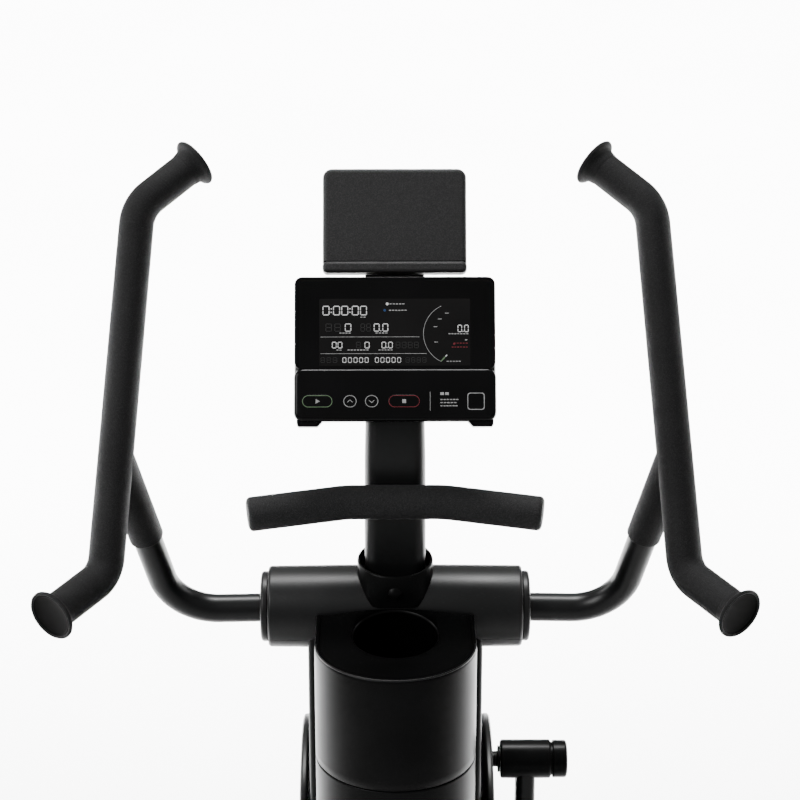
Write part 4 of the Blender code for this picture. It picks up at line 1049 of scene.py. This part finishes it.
def key_faces():
    """Each key's cap with its coloured outline and a plain symbol."""
    to_console = console_frame(CONSOLE_FOOT).inverted()
    for name, glow in KEYS.items():
        node = frame["nodes"][name]
        local = [to_console @ vertex.co for vertex in node.data.vertices]
        low, high = (Vector([pick(values) for values in zip(*local)]) for pick in (min, max))
        low.z = 0.0112
        corner = (high.y - low.y) / 2 * 0.99
        slab(name + "_cap", low, high, corner, GLOSS, [name], 0.0005, body=name)
        face = high.z + 0.00004
        # The outlines, symbols and panel print glow faintly: painted glow.
        mark(name + "_outline", pill_ring(low, high, 0.0006, 0.0007), glow, face, 0.0001, name)
        mark(name + "_symbol", symbol(name, (low + high) / 2), GREY_PRINT_PAINTED_GLOW, face, 0.0001, name)
    fine = [rule(0.0385, 0.039, 0.0221, 0.021)]
    for x1, y, width, count in PANEL_PRINT:
        fine += dashes(0.05, x1, y, width, count)
    fine += pill_ring(Vector((0.08, 0.0125)), Vector((0.099, 0.0315)), 0.0, 0.0008, 0.003)
    mark("panel_marks", fine, GREY_PRINT_PAINTED_GLOW, CONTROL_PROUD + 0.00005)


def pill_ring(low, high, inward, width, corner=None):
    """The outline of a round-ended or round-cornered shape, as a band of flat pieces."""
    def edge(shift):
        half = corner or (high.y - low.y) / 2 - shift
        return rounded_box((low.x + shift, low.y + shift), (high.x - shift, high.y - shift), half * 0.99, 12)
    outer, inner = edge(inward), edge(inward + width)
    count = len(outer)
    return [[outer[i], outer[(i + 1) % count], inner[(i + 1) % count], inner[i]] for i in range(count)]


def symbol(name, centre):
    """A chevron up or down, a triangle, or a square."""
    x, y = centre.x, centre.y
    if name in ("up_key", "down_key"):
        rise = 1 if name == "up_key" else -1
        foot_y, tip_y = y - rise * 0.0012, y + rise * 0.0016
        return [bar(x - 0.003, foot_y, x, tip_y, 0.0007), bar(x, tip_y, x + 0.003, foot_y, 0.0007)]
    if name == "start_key":
        return [[Vector((x - 0.0018, y - 0.0026)), Vector((x + 0.003, y)), Vector((x - 0.0018, y + 0.0026))]]
    half = Vector((0.0021, 0.0021))
    return [rounded_box(centre.xy - half, centre.xy + half, 0.0004, 3)]


def build_shelf():
    """The media shelf: a grained plate with rolled edges and a lip to stand a tablet on."""
    half = 0.08125
    top = 0.1218
    for name, low, high, corner, material, nodes, edge, segments in (
        ("plate", (-half, 0.004, -0.012), (half, top, 0.0), 0.0105, GRAINED, ["media_shelf"], 0.0052, 6),
        ("ledge", (-half, 0.0005, -0.012), (half, 0.0135, 0.011), 0.0058, GRAINED, (), 0.0044, 5),
        # The groove is a thin dark strip, not a cut: painted shadow between plate and ledge.
        ("groove", (0.002 - half, 0.0135, -0.001), (half - 0.002, 0.0154, 0.0003), 0.0006, PAINTED_SHADE_BLACK, (), 0.0, 3),
        ("bracket", (-0.0335, -0.004, -0.0165), (0.0335, 0.08, -0.011), 0.005, SATIN, (), 0.001, 3),
    ):
        slab(f"shelf_{name}", low, high, corner, material, nodes, edge, SHELF_FOOT, segments=segments)


# Base and drive.


def build_base():
    for end in ("front", "rear"):
        for side in SIDES:
            foot(f"{end}_{side}_foot")
    for side in SIDES:
        transport_wheel(side)
    low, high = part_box("base_rail")
    outline = rounded_box((low.x, low.z), (high.x, high.z), 0.007, 6)
    rings = [[Vector((p.x, y, p.y)) for p in outline] for y in (low.y, high.y)]
    loft("rail_tube", rings, PAINT, "root", ["base_rail"], edge=0.0006)
    low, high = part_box("rear_stabilizer")
    outline = rounded_box((low.y, low.z), (high.y, high.z), 0.01, 6)
    prism_piece("rear_beam", outline, (low.x, high.x), PAINT, "root", ["rear_stabilizer"], True, edge=0.0006)


def foot(node):
    """A soft end cap over the beam's end, with a rounded top."""
    low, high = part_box(node)
    plan = [(0.0025, low.z), (0.0, low.z + 0.003), (0.0, high.z - 0.01)]
    plan += [(inward, high.z - 0.01 + up) for inward, up in quarter_round(0.008, 0.01, 5)]
    loft(node + "_pad", boxed_rings(low, high, 0.0105, plan, 6), RUBBER, "root", [node], angle=50)


def transport_wheel(side):
    low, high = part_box(f"{side}_transport_wheel")
    centre = (low + high) / 2
    half = (high.x - low.x) / 2
    radius = (high.z - low.z) / 2
    tread = [(0.0046, half), (0.01, half), (0.011, half - 0.002), (0.017, half - 0.002), (0.0185, half)]
    tread += [(radius - 0.002, half), (radius, half - 0.002)]
    groove_x, floor = half * 0.4, radius - 0.0012
    tread += [(radius, groove_x + 0.0012), (floor, groove_x + 0.0006), (floor, groove_x - 0.0006)]
    tread.append((radius, groove_x - 0.0012))
    node, direction = f"{side}_transport_wheel", (SIDES[side], 0, 0)
    profile = tread + mirrored(tread)
    turned(f"{side}_roller", profile, centre, direction, RUBBER, f"{side}_wheel", [node], 0.0005, 64)


CARRIED = {
    PAINT: ("front_stabilizer", "main_post", "handlebar_tube"),
    STEEL: (
        "crank_shaft", "left_crank_bearing", "right_crank_bearing", "flywheel", "flywheel_axle", "brake_bracket",
    ),
    SATIN: ("drive_pulley",),
    RUBBER: ("drive_belt",),
}


def dress_cad():
    """The CAD pieces that stay get their finish, and slightly broken edges."""
    for material, names in CARRIED.items():
        for node in (frame["nodes"][name] for name in names):
            node.data.materials.clear()
            node.data.materials.append(material)
            node.modifiers.new("weld", "WELD").merge_threshold = 0.00002
            round_edges(node, 0.0006, 2, 40)


# Studio.


def area_light(name, place, target, size, power, spread=180.0):
    data = bpy.data.lights.new(name, "AREA")
    data.shape = "RECTANGLE"
    data.size, data.size_y = size
    data.energy = power
    data.spread = math.radians(spread)
    lamp = new_object(name, data)
    lamp.location = place
    lamp.rotation_euler = (Vector(place) - Vector(target)).to_track_quat("Z", "Y").to_euler()


def studio():
    bm = bmesh.new()
    bmesh.ops.create_grid(bm, x_segments=1, y_segments=1, size=60.0)
    floor = new_object("studio_floor", new_mesh("studio_floor", bm))
    made = Nodes("pale_floor")
    drift = made.noise(0.8, 2.0)
    made.colours(drift, grey(0.9), grey(0.93))
    made.roughness(drift, 0.85, 0.95)
    made.set(specular=0.1)
    floor.data.materials.append(made.material)
    floor.location.z = -0.0005
    world = bpy.data.worlds.new("studio")
    world.use_nodes = True
    background = world.node_tree.nodes["Background"]
    background.inputs["Color"].default_value = (1.0, 1.0, 1.0, 1.0)
    background.inputs["Strength"].default_value = 0.4
    bpy.context.scene.world = world
    # The first lights the floor that is seen behind the machine, and its narrow spread keeps it off the rest.
    area_light("rear_overhead", (0.0, 8.2, 6.0), (0.0, 8.2, 0.0), (16.0, 14.0), 9500.0, 50.0)
    area_light("key_softbox", (-2.6, -1.9, 3.5), HUB, (2.4, 2.0), 140.0)
    area_light("left_softbox", (-2.3, 0.9, 1.5), HUB, (1.0, 2.4), 44.0)
    area_light("right_softbox", (2.4, 1.3, 1.5), HUB, (0.8, 2.4), 24.0)


def camera():
    """The viewpoint: behind and above the user's place, looking down at the console."""
    data = bpy.data.cameras.new("camera")
    data.lens = 105.3
    data.sensor_width = 36.0
    view = new_object("camera", data)
    view.location = (-0.0093, -2.3527, 2.2854)
    pitch, yaw = math.radians(20.4), math.radians(-0.346)
    view.rotation_euler = (math.pi / 2 - pitch, 0.0, yaw)
    bpy.context.scene.camera = view


camera()
for arm_side in SIDES:
    build_arm(arm_side)
build_hub()
build_mast()
build_handlebar()
build_column()
build_cranks()
build_legs()
build_console()
build_shelf()
build_base()
dress_cad()
studio()
